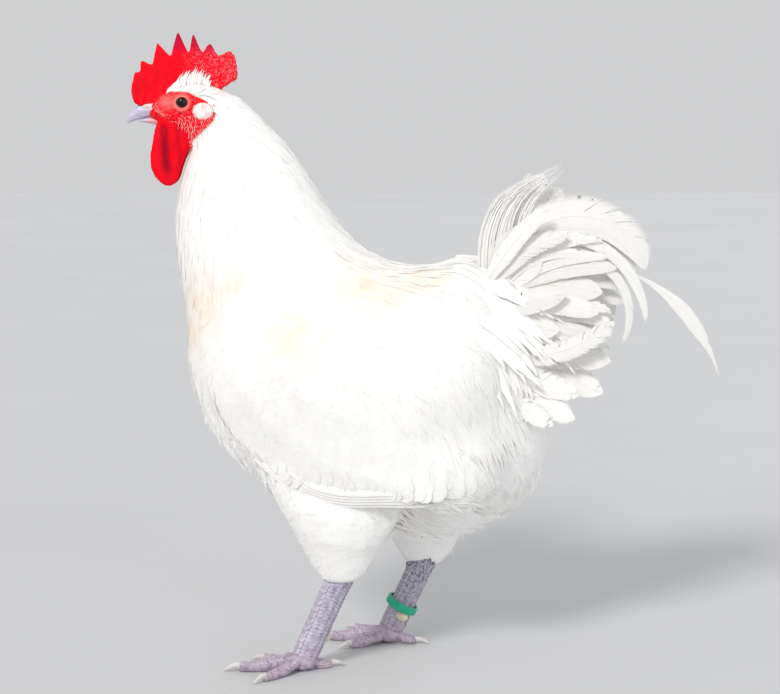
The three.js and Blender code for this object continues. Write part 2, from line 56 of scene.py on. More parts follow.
eyes = dict(x=-163.3, y=8.6, z=431.5, radius=7.5)
low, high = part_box("eye_left")
home = (low + high) / 2 / mm - Vector((eyes["x"], -eyes["y"], eyes["z"]))
toFrame = Matrix.Scale(mm, 4) @ Matrix.Translation(home)


# camera, lights and floor

view = dict(distance=1500, elevation=8, target=(-7.7, 0, 244.7), lens=90)


def addCamera():
    data = bpy.data.cameras.new("camera")
    data.lens = view["lens"]
    camera = bpy.data.objects.new("camera", data)
    scene.collection.objects.link(camera)
    rise = radians(view["elevation"])
    back = Vector((0, -cos(rise), sin(rise)))
    camera.location = toFrame @ (Vector(view["target"]) + back * view["distance"])
    camera.rotation_euler = (-back).to_track_quat("-Z", "Y").to_euler()
    scene.camera = camera


lamps = dict(
    key=dict(towards=(0.43, 0.76, -0.66), strength=1.95, angle=14, colour=(1, 0.98, 0.95)),
    fill=dict(towards=(-0.6, 0.8, -0.2), strength=0.7, angle=50, colour=(0.93, 0.96, 1)),
    back=dict(towards=(-0.5, -0.9, -0.5), strength=0.5, angle=40, colour=(0.95, 0.97, 1)),
)
studio = dict(colour=(0.77, 0.775, 0.785), strength=0.81)
floorLook = dict(size=6, cells=2, rough=0.8, mottle=3, dark=(0.545, 0.55, 0.56), pale=(0.57, 0.575, 0.585))


def addLamps():
    for name, lamp in lamps.items():
        data = bpy.data.lights.new(name, "SUN")
        data.energy = lamp["strength"]
        data.angle = radians(lamp["angle"])
        data.color = lamp["colour"]
        light = bpy.data.objects.new(name, data)
        scene.collection.objects.link(light)
        light.rotation_euler = Vector(lamp["towards"]).to_track_quat("-Z", "Y").to_euler()
    world = bpy.data.worlds.new("studio")
    world.use_nodes = True
    sky = world.node_tree.nodes["Background"].inputs
    sky["Color"].default_value = (*studio["colour"], 1)
    sky["Strength"].default_value = studio["strength"]
    scene.world = world
    scene.view_settings.view_transform = "Standard"


def addFloor():
    look = floorLook
    bm = bmesh.new()
    bmesh.ops.create_grid(bm, x_segments=look["cells"], y_segments=look["cells"], size=look["size"])
    paint = Paint("floor", Roughness=look["rough"])
    mottle = paint.ramp(paint.noise(paint.place(), look["mottle"], 4), (0.3, 0), (0.7, 1))
    mesh = toMesh(bm)
    mesh.materials.append(paint.finish(Base_Color=paint.mix(mottle, look["dark"], look["pale"])))
    floor = bpy.data.objects.new("floor", mesh)
    scene.collection.objects.link(floor)


# shader maths

class Wire:
    # the output socket of a node, which can be used in sums

    def __init__(self, paint, socket):
        self.paint, self.socket = paint, socket

    def calc(self, operation, *values):
        return self.paint.node("ShaderNodeMath", dict(operation=operation), values)

    def __add__(self, other):
        return self.calc("ADD", self, other)

    def __sub__(self, other):
        return self.calc("SUBTRACT", self, other)

    def __rsub__(self, other):
        return self.calc("SUBTRACT", other, self)

    def __mul__(self, other):
        return self.calc("MULTIPLY", self, other)

    __radd__, __rmul__ = __add__, __mul__

    def abs(self):
        return self.calc("ABSOLUTE", self)

    def sine(self):
        return self.calc("SINE", self)


class Paint:
    # a material whose nodes are written as expressions

    def __init__(self, name, **constants):
        self.material = bpy.data.materials.new(name)
        self.material.use_nodes = True
        self.tree = self.material.node_tree
        self.shader = self.tree.nodes["Principled BSDF"]
        for socket, value in constants.items():
            self.shader.inputs[socket.replace("_", " ")].default_value = value

    def node(self, kind, settings=None, values=None, output=0):
        made = self.tree.nodes.new(kind)
        for key, setting in (settings or {}).items():
            if key == "stops":
                self.setStops(made.color_ramp.elements, setting)
            else:
                setattr(made, key, setting)
        pairs = values.items() if isinstance(values, dict) else enumerate(values or ())
        for socket, value in pairs:
            if isinstance(value, Wire):
                self.tree.links.new(value.socket, made.inputs[socket])
            elif isinstance(value, tuple) and len(value) == 3 and made.inputs[socket].type == "RGBA":
                made.inputs[socket].default_value = (*value, 1)
            else:
                made.inputs[socket].default_value = value
        return Wire(self, made.outputs[output])

    def setStops(self, elements, stops):
        while len(elements) < len(stops):
            elements.new(1)
        for element, (position, grey) in zip(elements, stops):
            element.position = position
            element.color = (grey, grey, grey, 1)

    def place(self):
        return self.node("ShaderNodeTexCoord", output="Object")

    def own(self, name, output="Fac"):
        return self.node("ShaderNodeAttribute", dict(attribute_name=name), output=output)

    def noise(self, vector, scale, detail=3, roughness=0.55):
        values = dict(Vector=vector, Scale=scale, Detail=detail, Roughness=roughness)
        return self.node("ShaderNodeTexNoise", None, values, "Fac")

    def ramp(self, value, *stops):
        return self.node("ShaderNodeValToRGB", dict(stops=stops), [value], "Color")

    def mix(self, mask, first, second):
        return self.node("ShaderNodeMix", dict(data_type="RGBA"), {0: mask, 6: first, 7: second}, 2)

    def stretch(self, vector, x, y, z):
        return self.node("ShaderNodeMapping", None, dict(Vector=vector, Scale=(x, y, z)))

    def parts(self, vector):
        return [self.node("ShaderNodeSeparateXYZ", None, [vector], axis) for axis in "XYZ"]

    def bump(self, height, distance, strength):
        return self.node("ShaderNodeBump", None, dict(Height=height, Distance=distance, Strength=strength))

    def finish(self, **inputs):
        for socket, wire in inputs.items():
            self.tree.links.new(wire.socket, self.shader.inputs[socket.replace("_", " ")])
        return self.material


# meshes

def addPiece(name, mesh, material, slot, *stoodFor):
    mesh.name = name
    mesh.transform(toFrame)
    mesh.materials.clear()
    mesh.materials.append(material)
    piece = bpy.data.objects.new(name, mesh)
    scene.collection.objects.link(piece)
    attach(piece, "root")
    if stoodFor:
        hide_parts(*stoodFor)
    mesh.calc_loop_triangles()
    print(f"{name}: {len(mesh.loop_triangles)} triangles")


def toMesh(bm):
    mesh = bpy.data.meshes.new("made")
    for face in bm.faces:
        face.smooth = True
    bm.to_mesh(mesh)
    bm.free()
    return mesh


def nodeCopy(names, grow=0.0):
    whole = bmesh.new()
    for name in names:
        part = bmesh.new()
        part.from_mesh(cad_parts[name].data)
        bmesh.ops.transform(part, matrix=toFrame.inverted(), verts=part.verts)
        bmesh.ops.remove_doubles(part, verts=part.verts, dist=0.001)
        part.normal_update()
        for vertex in part.verts:
            vertex.co += vertex.normal * (grow(vertex.co) if callable(grow) else grow)
        mesh = toMesh(part)
        whole.from_mesh(mesh)
        bpy.data.meshes.remove(mesh)
    return whole


def changed(mesh, kind, group=None, **settings):
    # the mesh after one modifier
    holder = bpy.data.objects.new("holder", mesh)
    scene.collection.objects.link(holder)
    if group is not None:
        holder.vertex_groups.new(name="where").add(group.tolist(), 1, "REPLACE")
        settings["vertex_group"] = "where"
    modifier = holder.modifiers.new("change", kind)
    for key, value in settings.items():
        setattr(modifier, key, value)
    seen = holder.evaluated_get(bpy.context.evaluated_depsgraph_get())
    result = bpy.data.meshes.new_from_object(seen)
    bpy.data.objects.remove(holder)
    bpy.data.meshes.remove(mesh)
    return result


def placesOf(mesh, what="co"):
    values = np.empty(len(mesh.vertices) * 3)
    mesh.vertices.foreach_get(what, values)
    return values.reshape(-1, 3)


def setPlaces(mesh, places):
    mesh.vertices.foreach_set("co", places.ravel())
    mesh.update()


def cornersOf(parts, ends):
    # the points of each edge or triangle
    found = np.empty(len(parts) * ends, int)
    parts.foreach_get("vertices", found)
    return found.reshape(-1, ends)


def addValues(mesh, name, values):
    values = np.ascontiguousarray(values, np.float32)
    mesh.attributes.new(name, "FLOAT", "POINT").data.foreach_set("value", values)


def relaxed(mesh, places, weight, passes, back=-0.52):
    # smooths without shrinking: each pass pulls in and then pushes out a little more
    ends = cornersOf(mesh.edges, 2)
    a, b = ends.T
    count = np.bincount(ends.ravel(), minlength=len(places))[:, None]
    for step in [0.5, back] * passes:
        axes = [
            np.bincount(a, places[b, k], len(places)) + np.bincount(b, places[a, k], len(places))
            for k in range(3)
        ]
        places = places + (np.stack(axes, 1) / count - places) * (weight * step)[:, None]
    return places


def smoothStep(values, start, end):
    share = np.clip((values - start) / (end - start), 0, 1)
    return share * share * (3 - 2 * share)


def unit(vectors):
    return vectors / np.maximum(np.linalg.norm(vectors, axis=-1, keepdims=True), 1e-9)


def between(values, *pairs):
    # read off a line through these pairs
    return np.interp(values, [a for a, _ in pairs], [b for _, b in pairs])


# forms under the plumage

rump = [
    dict(centre=(78, 0, 280), radii=(28, 13, 28), tilt=0),
    dict(centre=(88, -20, 254), radii=(17, 13, 60), tilt=-17),
    dict(centre=(88, 20, 254), radii=(17, 13, 60), tilt=-17),
]


def addSwelling(bm, centre, radii, tilt):
    turn = Matrix.Rotation(radians(tilt), 4, "Y")
    place = Matrix.Translation(centre) @ turn @ Matrix.Diagonal((*radii, 1))
    bmesh.ops.create_icosphere(bm, subdivisions=3, radius=1, matrix=place)


# how far the forms stand out from their nodes; passes that fill in a blended seam, how far it stays
# clear of the body, and passes after that
forms = dict(grow=0.5, fill=80, clear=0.4, finish=4, tries=9)


class Form:
    # a smooth closed surface that feathers are laid on

    def __init__(self, nodes, swellings=(), voxel=3.5, passes=7, blend=None, body=None):
        bm = nodeCopy(nodes, forms["grow"])
        for swelling in swellings:
            addSwelling(bm, **swelling)
        mesh = changed(toMesh(bm), "REMESH", mode="VOXEL", voxel_size=voxel)
        places = placesOf(mesh)
        places = relaxed(mesh, places, np.ones(len(places)), passes)
        if blend:
            share = blend(places)
            places = relaxed(mesh, places, share, forms["fill"], back=0.0)
            moved = np.flatnonzero(share > 0)
            onBody, out = body.nearest(places[moved])
            sunk = np.maximum(forms["clear"] - ((places[moved] - onBody) * out).sum(1), 0)
            places[moved] += out * sunk[:, None]
            places = relaxed(mesh, places, share, forms["finish"])
        setPlaces(mesh, places)
        mesh.calc_loop_triangles()
        self.corners = cornersOf(mesh.loop_triangles, 3)
        self.places, self.normals = placesOf(mesh), placesOf(mesh, "normal")
        self.tree = BVHTree.FromPolygons(self.places.tolist(), self.corners.tolist())
        bpy.data.meshes.remove(mesh)

    def nearest(self, points):
        found = [self.tree.find_nearest(point) for point in points.tolist()]
        places = np.array([hit[0] for hit in found])
        normals = self.normals[self.corners[[hit[2] for hit in found]]].mean(1)
        return places, unit(normals)

    def sown(self, spacing, where, seed):
        # points over the surface, about a spacing apart, which may differ from place to place
        own = np.random.default_rng(seed)
        a, b, c = (self.places[self.corners[:, k]] for k in range(3))
        area = np.linalg.norm(np.cross(b - a, c - a), axis=1) / 2
        middle = (a + b + c) / 3
        chance = area * where(middle) / spacing(middle) ** 2
        picks = own.choice(len(area), int(chance.sum() * forms["tries"]), p=chance / chance.sum())
        u, v = own.random((2, len(picks), 1))
        u, v = np.where(u + v > 1, 1 - u, u), np.where(u + v > 1, 1 - v, v)
        points = a[picks] + (b - a)[picks] * u + (c - a)[picks] * v
        near = KDTree(len(points))
        for i, point in enumerate(points.tolist()):
            near.insert(point, i)
        near.balance()
        free = np.ones(len(points), bool)
        kept = []
        for i, (point, reach) in enumerate(zip(points.tolist(), spacing(points).tolist())):
            if free[i]:
                kept.append(i)
                for _, other, _ in near.find_range(point, reach):
                    free[other] = False
        return points[kept]


# the lie of the plumage

# cross-sections from the nape to the vent: upper and lower point in the side view, half width
sections = [
    ((-141, 437), (-160, 408), 11), ((-127, 438), (-159, 396), 17), ((-104, 418), (-167, 369), 26),
    ((-83, 396), (-171, 341), 34), ((-62, 363), (-169, 310), 43), ((-42, 334), (-163, 272), 54),
    ((-19, 315), (-162, 228), 67), ((6, 308), (-152, 192), 76), ((31, 309), (-122, 154), 79),
    ((52, 316), (-78, 122), 77), ((71, 305), (-22, 101), 70), ((86, 277), (31, 95), 60),
    ((98, 246), (74, 113), 46), ((108, 208), (101, 136), 29), ((113, 180), (112, 160), 9),
]


def stations(points):
    # how far along the body a point is, in section numbers, and its angle round it from the spine
    top, bottom = (np.array([s[k] for s in sections], float) for k in (0, 1))
    across = top - bottom
    onward = unit(np.stack([across[:, 1], -across[:, 0]], 1))
    flat = points[:, [0, 2]]
    ahead = ((flat[:, None] - bottom[None]) * onward[None]).sum(2)
    last = np.clip((ahead >= 0).sum(1) - 1, 0, len(sections) - 2)
    row = np.arange(len(points))
    here, after = ahead[row, last], ahead[row, last + 1]
    along = last + np.clip(here / np.maximum(here - after, 1e-6), -2.5, 1)
    middle = (top + bottom)[last] / 2
    height = ((flat - middle) * unit(across)[last]).sum(1)
    return along, np.arctan2(points[:, 1], height)


def fromAnchors(anchors, points):
    # blends the values of named places; the bird is the same on both sides
    spots = np.array([spot for spot, _ in anchors], float)
    values = np.array([value for _, value in anchors], float)
    folded = points * (1, 0, 1) + np.abs(points) * (0, 1, 0)
    weight = 1 / (np.linalg.norm(folded[:, None] - spots[None], axis=2) ** 4 + 1)
    return (weight / weight.sum(1, keepdims=True)) @ values.reshape(len(spots), -1)


# at a place on the left or right side: the way feathers point, outwards being +Y
bodyFlow = [
    ((-174, 5, 442), (0.25, 0.1, 0.95)), ((-160, 7, 447), (0.45, 0.1, 0.88)),
    ((-146, 6, 449), (0.75, 0.1, 0.6)), ((-132, 3, 443), (0.95, 0, -0.2)),
    ((-138, 17, 428), (0.5, 0.05, -0.8)), ((-150, 17, 404), (0.15, 0.05, -1)),
    ((-163, 8, 385), (0.02, 0.1, -1)), ((-168, 0, 350), (0, 0, -1)), ((-95, 0, 410), (0.66, 0, -0.75)),
    ((-125, 30, 370), (0.3, 0.05, -0.95)), ((-170, 0, 300), (0.05, 0, -1)),
    ((-55, 0, 350), (0.72, 0, -0.7)), ((-110, 50, 310), (0.3, 0.05, -0.95)),
    ((-60, 60, 290), (0.62, 0.05, -0.78)), ((-160, 0, 240), (0.2, 0, -1)), ((-145, 0, 190), (0.5, 0, -0.85)),
    ((-130, 50, 230), (0.4, 0, -0.9)), ((-110, 0, 155), (0.75, 0, -0.65)), ((-50, 0, 115), (0.95, 0, -0.25)),
    ((20, 0, 95), (0.95, 0, -0.1)), ((-10, 0, 312), (1, 0.1, -0.2)), ((0, 55, 280), (0.75, 0.1, -0.65)),
    ((40, 0, 312), (0.95, 0.15, 0)), ((45, 60, 270), (0.62, 0.1, -0.78)), ((0, 79, 200), (0.85, 0, -0.5)),
    ((60, 70, 200), (0.72, 0, -0.7)), ((95, 30, 200), (0.4, 0, -0.92)), ((100, 10, 150), (0.35, 0, -0.93)),
    ((60, 30, 105), (0.75, 0, -0.65)), ((-30, 60, 140), (0.8, 0, -0.6)),
]

# how deep the skin lies under the outside of the coat
coatDepth = [
    ((-170, 12, 430), 0), ((-150, 16, 420), 0.6), ((-135, 12, 436), 1.4), ((-148, 14, 400), 1.2),
    ((-160, 8, 385), 1.5), ((-110, 25, 390), 3), ((-165, 10, 340), 3), ((-75, 35, 350), 4),
    ((-110, 50, 310), 4), ((-160, 10, 250), 5), ((-60, 65, 270), 5), ((-100, 60, 210), 5.5),
    ((-110, 20, 160), 5), ((0, 20, 305), 5), ((0, 75, 220), 6), ((60, 60, 260), 6.5), ((-20, 30, 105), 5),
    ((70, 40, 130), 8), ((100, 20, 190), 8), ((-50, 60, 150), 4), ((-50, 40, 85), 2), ((20, 40, 85), 2),
]


def lie(anchors):
    def way(points):
        found = fromAnchors(anchors, points)
        found[:, 1] *= np.sign(points[:, 1])
        return found

    return way


def laid(form, roots, length, depth, rise, steps, heading, sway, settle, seed):
    # each feather walks over the surface from its root, which lies deeper than its tip
    own = np.random.default_rng(seed)
    length, depth, rise = (np.broadcast_to(value, len(roots)) for value in (length, depth, rise))
    places, normals = form.nearest(roots)
    turn = own.normal(0, sway, len(roots))[:, None]
    path, up, way = [], [], None
    for step in range(steps + 1):
        share = step / steps
        ahead = heading(places)
        ahead = unit(ahead - normals * (ahead * normals).sum(1, keepdims=True))
        ahead = unit(ahead + np.cross(normals, ahead) * turn)
        way = ahead if way is None else unit(way + ahead)
        height = -depth * (1 - share) ** settle + rise * share ** 2
        path.append(places + normals * height[:, None])
        up.append(normals)
        if step < steps:
            places, normals = form.nearest(places + way * (length / steps)[:, None])
    return np.stack(path, 1), np.stack(up, 1)


def hugged(form, path, up, half, spare):
    # how much each feather arches from side to side to lie close on the form
    row = int(path.shape[1] * 0.7)
    middle, normal = path[:, row], up[:, row]
    side = unit(np.cross(path[:, row + 1] - middle, normal))
    heights = []
    for way in (0, -1, 1):
        spot = middle + side * (way * half)[:, None]
        heights.append(((spot - form.nearest(spot)[0]) * normal).sum(1))
    drop = (heights[1] + heights[2]) / 2 - heights[0]
    return np.clip(drop / half, -0.06, 0.5) + spare


# feathers

def prism(rows):
    # a three-sided rod: t along it, v from edge to edge, and h from its flat side to its ridge
    bm = bmesh.new()
    bmesh.ops.create_cone(bm, cap_ends=True, segments=3, radius1=1, radius2=1, depth=1)
    long = [e for e in bm.edges if abs(e.verts[0].co.z - e.verts[1].co.z) > 0.5]
    if rows > 1:
        bmesh.ops.subdivide_edges(bm, edges=long, cuts=rows - 1, use_grid_fill=True)
    bmesh.ops.recalc_face_normals(bm, faces=bm.faces)
    t = np.array([v.co.z + 0.5 for v in bm.verts])
    v = np.array([v.co.x / sin(tau / 3) for v in bm.verts])
    h = np.array([(v.co.y + 0.5) / 1.5 for v in bm.verts])
    faces = [[v.index for v in face.verts] for face in bm.faces]
    bm.free()
    return dict(t=t, v=v, h=h, faces=faces)


def vane(rows, outline, notch=0.0, slant=0.0, seed=0):
    # a feather whose edge is nicked between its barbs
    own = np.random.default_rng(seed)
    made = prism(rows)
    t, v = 1 - (1 - made["t"]) ** 1.5, made["v"]
    row = np.rint(made["t"] * rows).astype(int)
    nicks = 1 - notch * own.random((2, rows + 1)) * (np.arange(rows + 1) % 2)
    edge = nicks[(v > 0).astype(int), row]
    made["v"] = v * outline(t) * edge
    made["t"] = np.clip(t + slant * np.abs(made["v"]) * np.clip(t * (1 - t) * 4, 0, 1), 0, 1)
    made["h"] = made["h"] * (1 - 0.8 * t)
    return made


def pointed(t):
    return np.minimum(1, 0.3 + 2.2 * t) * np.clip(1 - np.clip(t - 0.45, 0, 1) / 0.56, 0.02, 1) ** 0.8


def rounded(t):
    return np.minimum(1, 0.25 + 2 * t) * np.sqrt(np.clip(1 - np.clip((t - 0.5) / 0.5, 0, 1) ** 2.6, 0.004, 1))


def strand(t):
    return np.clip(1.05 - t, 0.08, 1)


def bristle(t):
    return np.clip(1.1 - t, 0.1, 1)


def fan(strands, spread, rows=4, seed=0):
    # a tuft of loose barbs that open from one root
    own = np.random.default_rng(seed)
    parts = []
    for i in range(strands):
        made = prism(rows)
        t = made["t"] * (1 - 0.35 * own.random())
        aim = spread * (2 * (i + 0.5) / strands - 1 + own.normal(0, 0.1))
        made["v"] = made["v"] * strand(made["t"]) * 0.16 + aim * t ** 1.3
        made["h"] = made["h"] + t ** 2 * own.normal(0, 3)
        made["t"] = t
        parts.append(made)
    count = len(parts[0]["t"])
    faces = [[c + i * count for c in face] for i, part in enumerate(parts) for face in part["faces"]]
    return dict(faces=faces, **{key: np.concatenate([part[key] for part in parts]) for key in "tvh"})


def alongPath(values, t):
    # values given at even steps along each feather, read at the places t
    steps = values.shape[1] - 1
    at = np.clip(t, 0, 1) * steps
    first = np.minimum(at.astype(int), steps - 1)
    share = (at - first)[None, :, None]
    return values[:, first] * (1 - share) + values[:, first + 1] * share


def coatMesh(groups):
    # joins feathers to one mesh; a group holds the paths of its feathers and the shapes they take
    places, vaneMap, bakeMap, tones, corners, sizes = [], [], [], [], [], []
    offset = 0
    for group in groups:
        path, up = group["path"], group["up"]
        count = len(path)
        spread, thick, droop = (np.broadcast_to(group[key], count) for key in ("half", "thick", "droop"))
        tone = group.get("tone", rng.random(count))
        ahead = unit(np.gradient(path, axis=1))
        side = unit(np.cross(ahead, up))
        over = np.cross(side, ahead)
        total = np.linalg.norm(np.diff(path, axis=1), axis=2).sum(1)
        if "bake" in group:
            bakeRoot = group["bake"]
        else:
            along, angle = stations(group.get("root", path[:, 0]))
            bakeRoot = np.stack([(along + 2.6) / 17, angle / tau + 0.5], 1)   # stations run from -2.5 to 14
        shapes = group["shapes"]
        for i, shape in enumerate(shapes):
            mine = np.arange(i, count, len(shapes))
            if not len(mine):
                continue
            t, v, h = shape["t"], shape["v"], shape["h"]
            across = v[None] * spread[mine, None]
            height = h[None] * thick[mine, None] - np.abs(v[None]) ** 2 * (droop * spread)[mine, None]
            made = alongPath(path[mine], t) + alongPath(side[mine], t) * across[..., None]
            made = made + alongPath(over[mine], t) * height[..., None]
            places.append(made.reshape(-1, 3))
            if group.get("lengthwise"):
                grained = np.stack([10 + 0 * across, across], 2)
            else:
                grained = np.stack([across, t[None] * total[mine, None]], 2)
            vaneMap.append(grained.reshape(-1, 2) / 10)
            patch = np.stack([np.broadcast_to(v, (len(mine), len(v))) * 0.5, t[None] + 0 * across], 2)
            bakeMap.append((bakeRoot[mine, None] + patch * 0.003).reshape(-1, 2))
            tones.append(np.repeat(tone[mine], len(t)))
            faces = np.concatenate(shape["faces"])
            starts = offset + np.arange(len(mine)) * len(t)
            corners.append((starts[:, None] + faces[None]).ravel())
            sizes.append(np.tile([len(face) for face in shape["faces"]], len(mine)))
            offset += len(mine) * len(t)
    places, corners, sizes = np.concatenate(places), np.concatenate(corners), np.concatenate(sizes)
    mesh = bpy.data.meshes.new("coat")
    mesh.vertices.add(len(places))
    mesh.loops.add(len(corners))
    mesh.polygons.add(len(sizes))
    mesh.vertices.foreach_set("co", places.ravel())
    mesh.loops.foreach_set("vertex_index", corners)
    mesh.polygons.foreach_set("loop_start", np.cumsum(sizes) - sizes)
    mesh.polygons.foreach_set("use_smooth", np.ones(len(sizes), bool))
    mesh.update(calc_edges=True)
    for name, values in (("OFBake", bakeMap), ("vane", vaneMap)):
        layer = mesh.uv_layers.new(name=name)
        layer.data.foreach_set("uv", np.concatenate(values)[corners].ravel())
    addValues(mesh, "tone", np.concatenate(tones))
    mesh.set_sharp_from_angle(angle=radians(60))
    return mesh


# plumage material

plumage = dict(
    white=(0.87, 0.865, 0.85), cream=(0.85, 0.65, 0.4), shade=(0.7, 0.685, 0.675),
    # the grey that feathers are dimmed towards, a little at random and more as painted shade
    paintedShadeAndTone=(0.58, 0.56, 0.53), quill=(0.8, 0.77, 0.72), creaminess=0.75, barbsPerCm=16, barbSlope=1.1,
    # centre and size of the sun-warmed patches
    creamSpots=[
        ((-147, 30, 281), 17), ((-125, 38, 298), 12), ((-75, 70, 260), 19), ((-20, 50, 298), 21),
        ((20, 40, 302), 13), ((-158, 20, 262), 15),
    ],
)


def creamMask(paint, place):
    mask = None
    for spot, size in plumage["creamSpots"]:
        for side in sides.values():
            centre = toFrame @ Vector((spot[0], side * spot[1], spot[2]))
            values = [place, tuple(centre)]
            offset = paint.node("ShaderNodeVectorMath", dict(operation="DISTANCE"), values, "Value")
            near = paint.ramp(offset * (1 / (size * 2 * mm)), (0, 1), (1, 0))
            mask = near if mask is None else mask.calc("MAXIMUM", mask, near)
    return mask


def plumageMaterial():
    # the faint glow stands in for the light that thin feathers let through
    paint = Paint("whitePlumage", Roughness=0.62, Sheen_Weight=0.15, Sheen_Roughness=0.5,
                  Specular_IOR_Level=0.15, Emission_Color=(1, 0.97, 0.94, 1), Emission_Strength=0.07)
    place = paint.place()
    across, along, _ = paint.parts(paint.node("ShaderNodeUVMap", dict(uv_map="vane")))
    mottle = paint.noise(place, 60, 4)
    cream = creamMask(paint, place) * paint.ramp(mottle, (0.3, 0.2), (0.62, 1)) * plumage["creaminess"]
    base = paint.mix(cream, plumage["white"], plumage["cream"])
    streak = paint.ramp(paint.noise(paint.stretch(place, 160, 160, 50), 1, 3), (0.45, 0), (0.8, 0.2))
    base = paint.mix(streak, base, plumage["shade"])
    tone = paint.own("tone")
    # painted shade: feathers with a tone above 1 (those of the tail, the tuft and the wing's flights) are
    # dimmed towards a grey; a tone below 1 varies the white a little at random
    paintedShadeAndTone = tone * 0.07 + (tone - 1).calc("MAXIMUM", tone - 1, 0) * 0.4
    base = paint.mix(paintedShadeAndTone, base, plumage["paintedShadeAndTone"])
    quill = paint.ramp(across.abs() * 12, (0, 0.35), (1, 0))
    base = paint.mix(quill, base, plumage["quill"])
    barbs = ((along - across.abs() * plumage["barbSlope"]) * (plumage["barbsPerCm"] * tau)).sine()
    rough = paint.noise(place, 900, 2)
    return paint.finish(Base_Color=base, Normal=paint.bump(barbs * 0.5 + rough, 0.00012, 0.6))


# the skin

bareFace = [
    (-190, 428), (-185.5, 434), (-180, 440), (-175.5, 441), (-170.5, 439.4), (-164.6, 439.6), (-158.7, 439),
    (-152.7, 436), (-147.5, 434), (-139, 431), (-138, 424.5), (-139.5, 418.5), (-144.8, 413), (-150.1, 408.5),
    (-155.4, 403.5), (-159.2, 398), (-161.6, 391), (-165, 384), (-178, 384), (-192, 408),
]
skinLook = dict(
    voxel=1.05, grow=0.35, combGrow=-0.3, combFoot=447, passes=9, decimatedBody=42000, lowestCoat=55,
    red=(0.86, 0.0, 0.011), deepRed=(0.2, 0.0, 0.012), pink=(0.9, 0.26, 0.24), lobe=(0.93, 0.86, 0.82),
    crimson=(0.5, 0.0, 0.045), crumb=(0.9, 0.3, 0.36), white=(0.86, 0.82, 0.78), slate=(0.44, 0.42, 0.5),
    rose=(0.5, 0.4, 0.45), speckle=(0.1, 0.085, 0.14),
)
fleshNodes = [
    "head", "neck", "trunk", "comb", "wattle_left", "wattle_right", "earlobe_left", "earlobe_right",
    "thigh_left", "thigh_right", "shank_left", "shank_right", "foot_left", "foot_right",
    "wing_left", "wing_right",
]


def outlineDistance(outline, points):
    # distance in the side view to an outline, below zero inside it
    ends = np.array(outline, float)
    a, b = ends, np.roll(ends, -1, 0)
    flat = points[:, [0, 2]]
    along = b - a
    share = ((flat[:, None] - a[None]) * along[None]).sum(2) / (along**2).sum(1)[None]
    foot = a[None] + np.clip(share, 0, 1)[..., None] * along[None]
    distance = np.linalg.norm(flat[:, None] - foot, axis=2).min(1)
    crosses = (a[None, :, 1] > flat[:, None, 1]) != (b[None, :, 1] > flat[:, None, 1])
    rise = np.where(np.abs(along[:, 1]) < 1e-9, 1e-9, along[:, 1])
    atX = a[None, :, 0] + (flat[:, None, 1] - a[None, :, 1]) * (along[:, 0] / rise)[None]
    inside = (crosses & (atX > flat[:, None, 0])).sum(1) % 2 == 1
    return np.where(inside, -distance, distance)


def nearNodes(points, names, reach):
    # 1 on these nodes, falling to 0 at a distance
    bm = nodeCopy(names)
    tree = BVHTree.FromBMesh(bm)
    bm.free()
    found = [tree.find_nearest(p, reach) for p in points.tolist()]
    distance = np.array([reach if hit[3] is None else hit[3] for hit in found])
    return 1 - smoothStep(distance, 0.5, reach)


def grain(points, size, seed=0.0):
    return np.array([noise.noise(Vector(p) / size + Vector((seed, seed, seed))) for p in points.tolist()])


def regions(places, reach=1.6):
    # where the skin is comb, wattle, bare face, earlobe or leg, each from 0 to 1
    found = {key: np.zeros(len(places)) for key in ("comb", "wattle", "face", "lobe", "leg")}
    upper = np.flatnonzero(places[:, 2] > 365)
    lower = np.flatnonzero(places[:, 2] < 98)
    head = places[upper]
    found["comb"][upper] = nearNodes(head, ["comb"], reach)
    found["wattle"][upper] = nearNodes(head, ["wattle_left", "wattle_right"], reach * 1.5)
    found["lobe"][upper] = nearNodes(head, ["earlobe_left", "earlobe_right"], 1.3)
    found["face"][upper] = smoothStep(-outlineDistance(bareFace, head), -1, 0.6)
    legNodes = ["shank_left", "shank_right", "foot_left", "foot_right"]
    found["leg"][lower] = nearNodes(places[lower], legNodes, 1.6)
    return found


def eyeFrame(side):
    # where an eye is, and its ways outwards, forward and up
    out = Vector((-0.03, side, 0.02)).normalized()
    ahead = Vector((0, 0, 1)).cross(out).normalized() * side
    return Vector((eyes["x"], side * eyes["y"], eyes["z"])), out, ahead, out.cross(ahead) * side


def eyeOffset(places, side):
    # how far out along the axis of the eye, and how far from the axis
    centre, out, _, _ = eyeFrame(side)
    offset, out = places - np.array(centre), np.array(out)
    deep = offset @ out
    return deep, np.linalg.norm(offset - deep[:, None] * out, axis=1), out


def wattleFolds(spot):
    # how deep the upright folds are, from 0 to 1
    lean = spot[:, 0] + 0.1 * (spot[:, 2] - 395) + 1.2 * grain(spot, 18)
    deep = np.exp(-(((lean + 177) / 3.2) ** 2)) + 0.4 * np.exp(-(((lean + 165.5) / 2) ** 2))
    outer = smoothStep(np.abs(spot[:, 1]), 9.5, 11)
    return deep * outer * smoothStep(spot[:, 2], 371, 384) * (1 - smoothStep(spot[:, 2], 410, 418))


def mouthLine(spot):
    # how far above the line that runs back and down from the corner of the mouth
    return spot[:, 2] - (424 - 0.77 * (spot[:, 0] + 182))


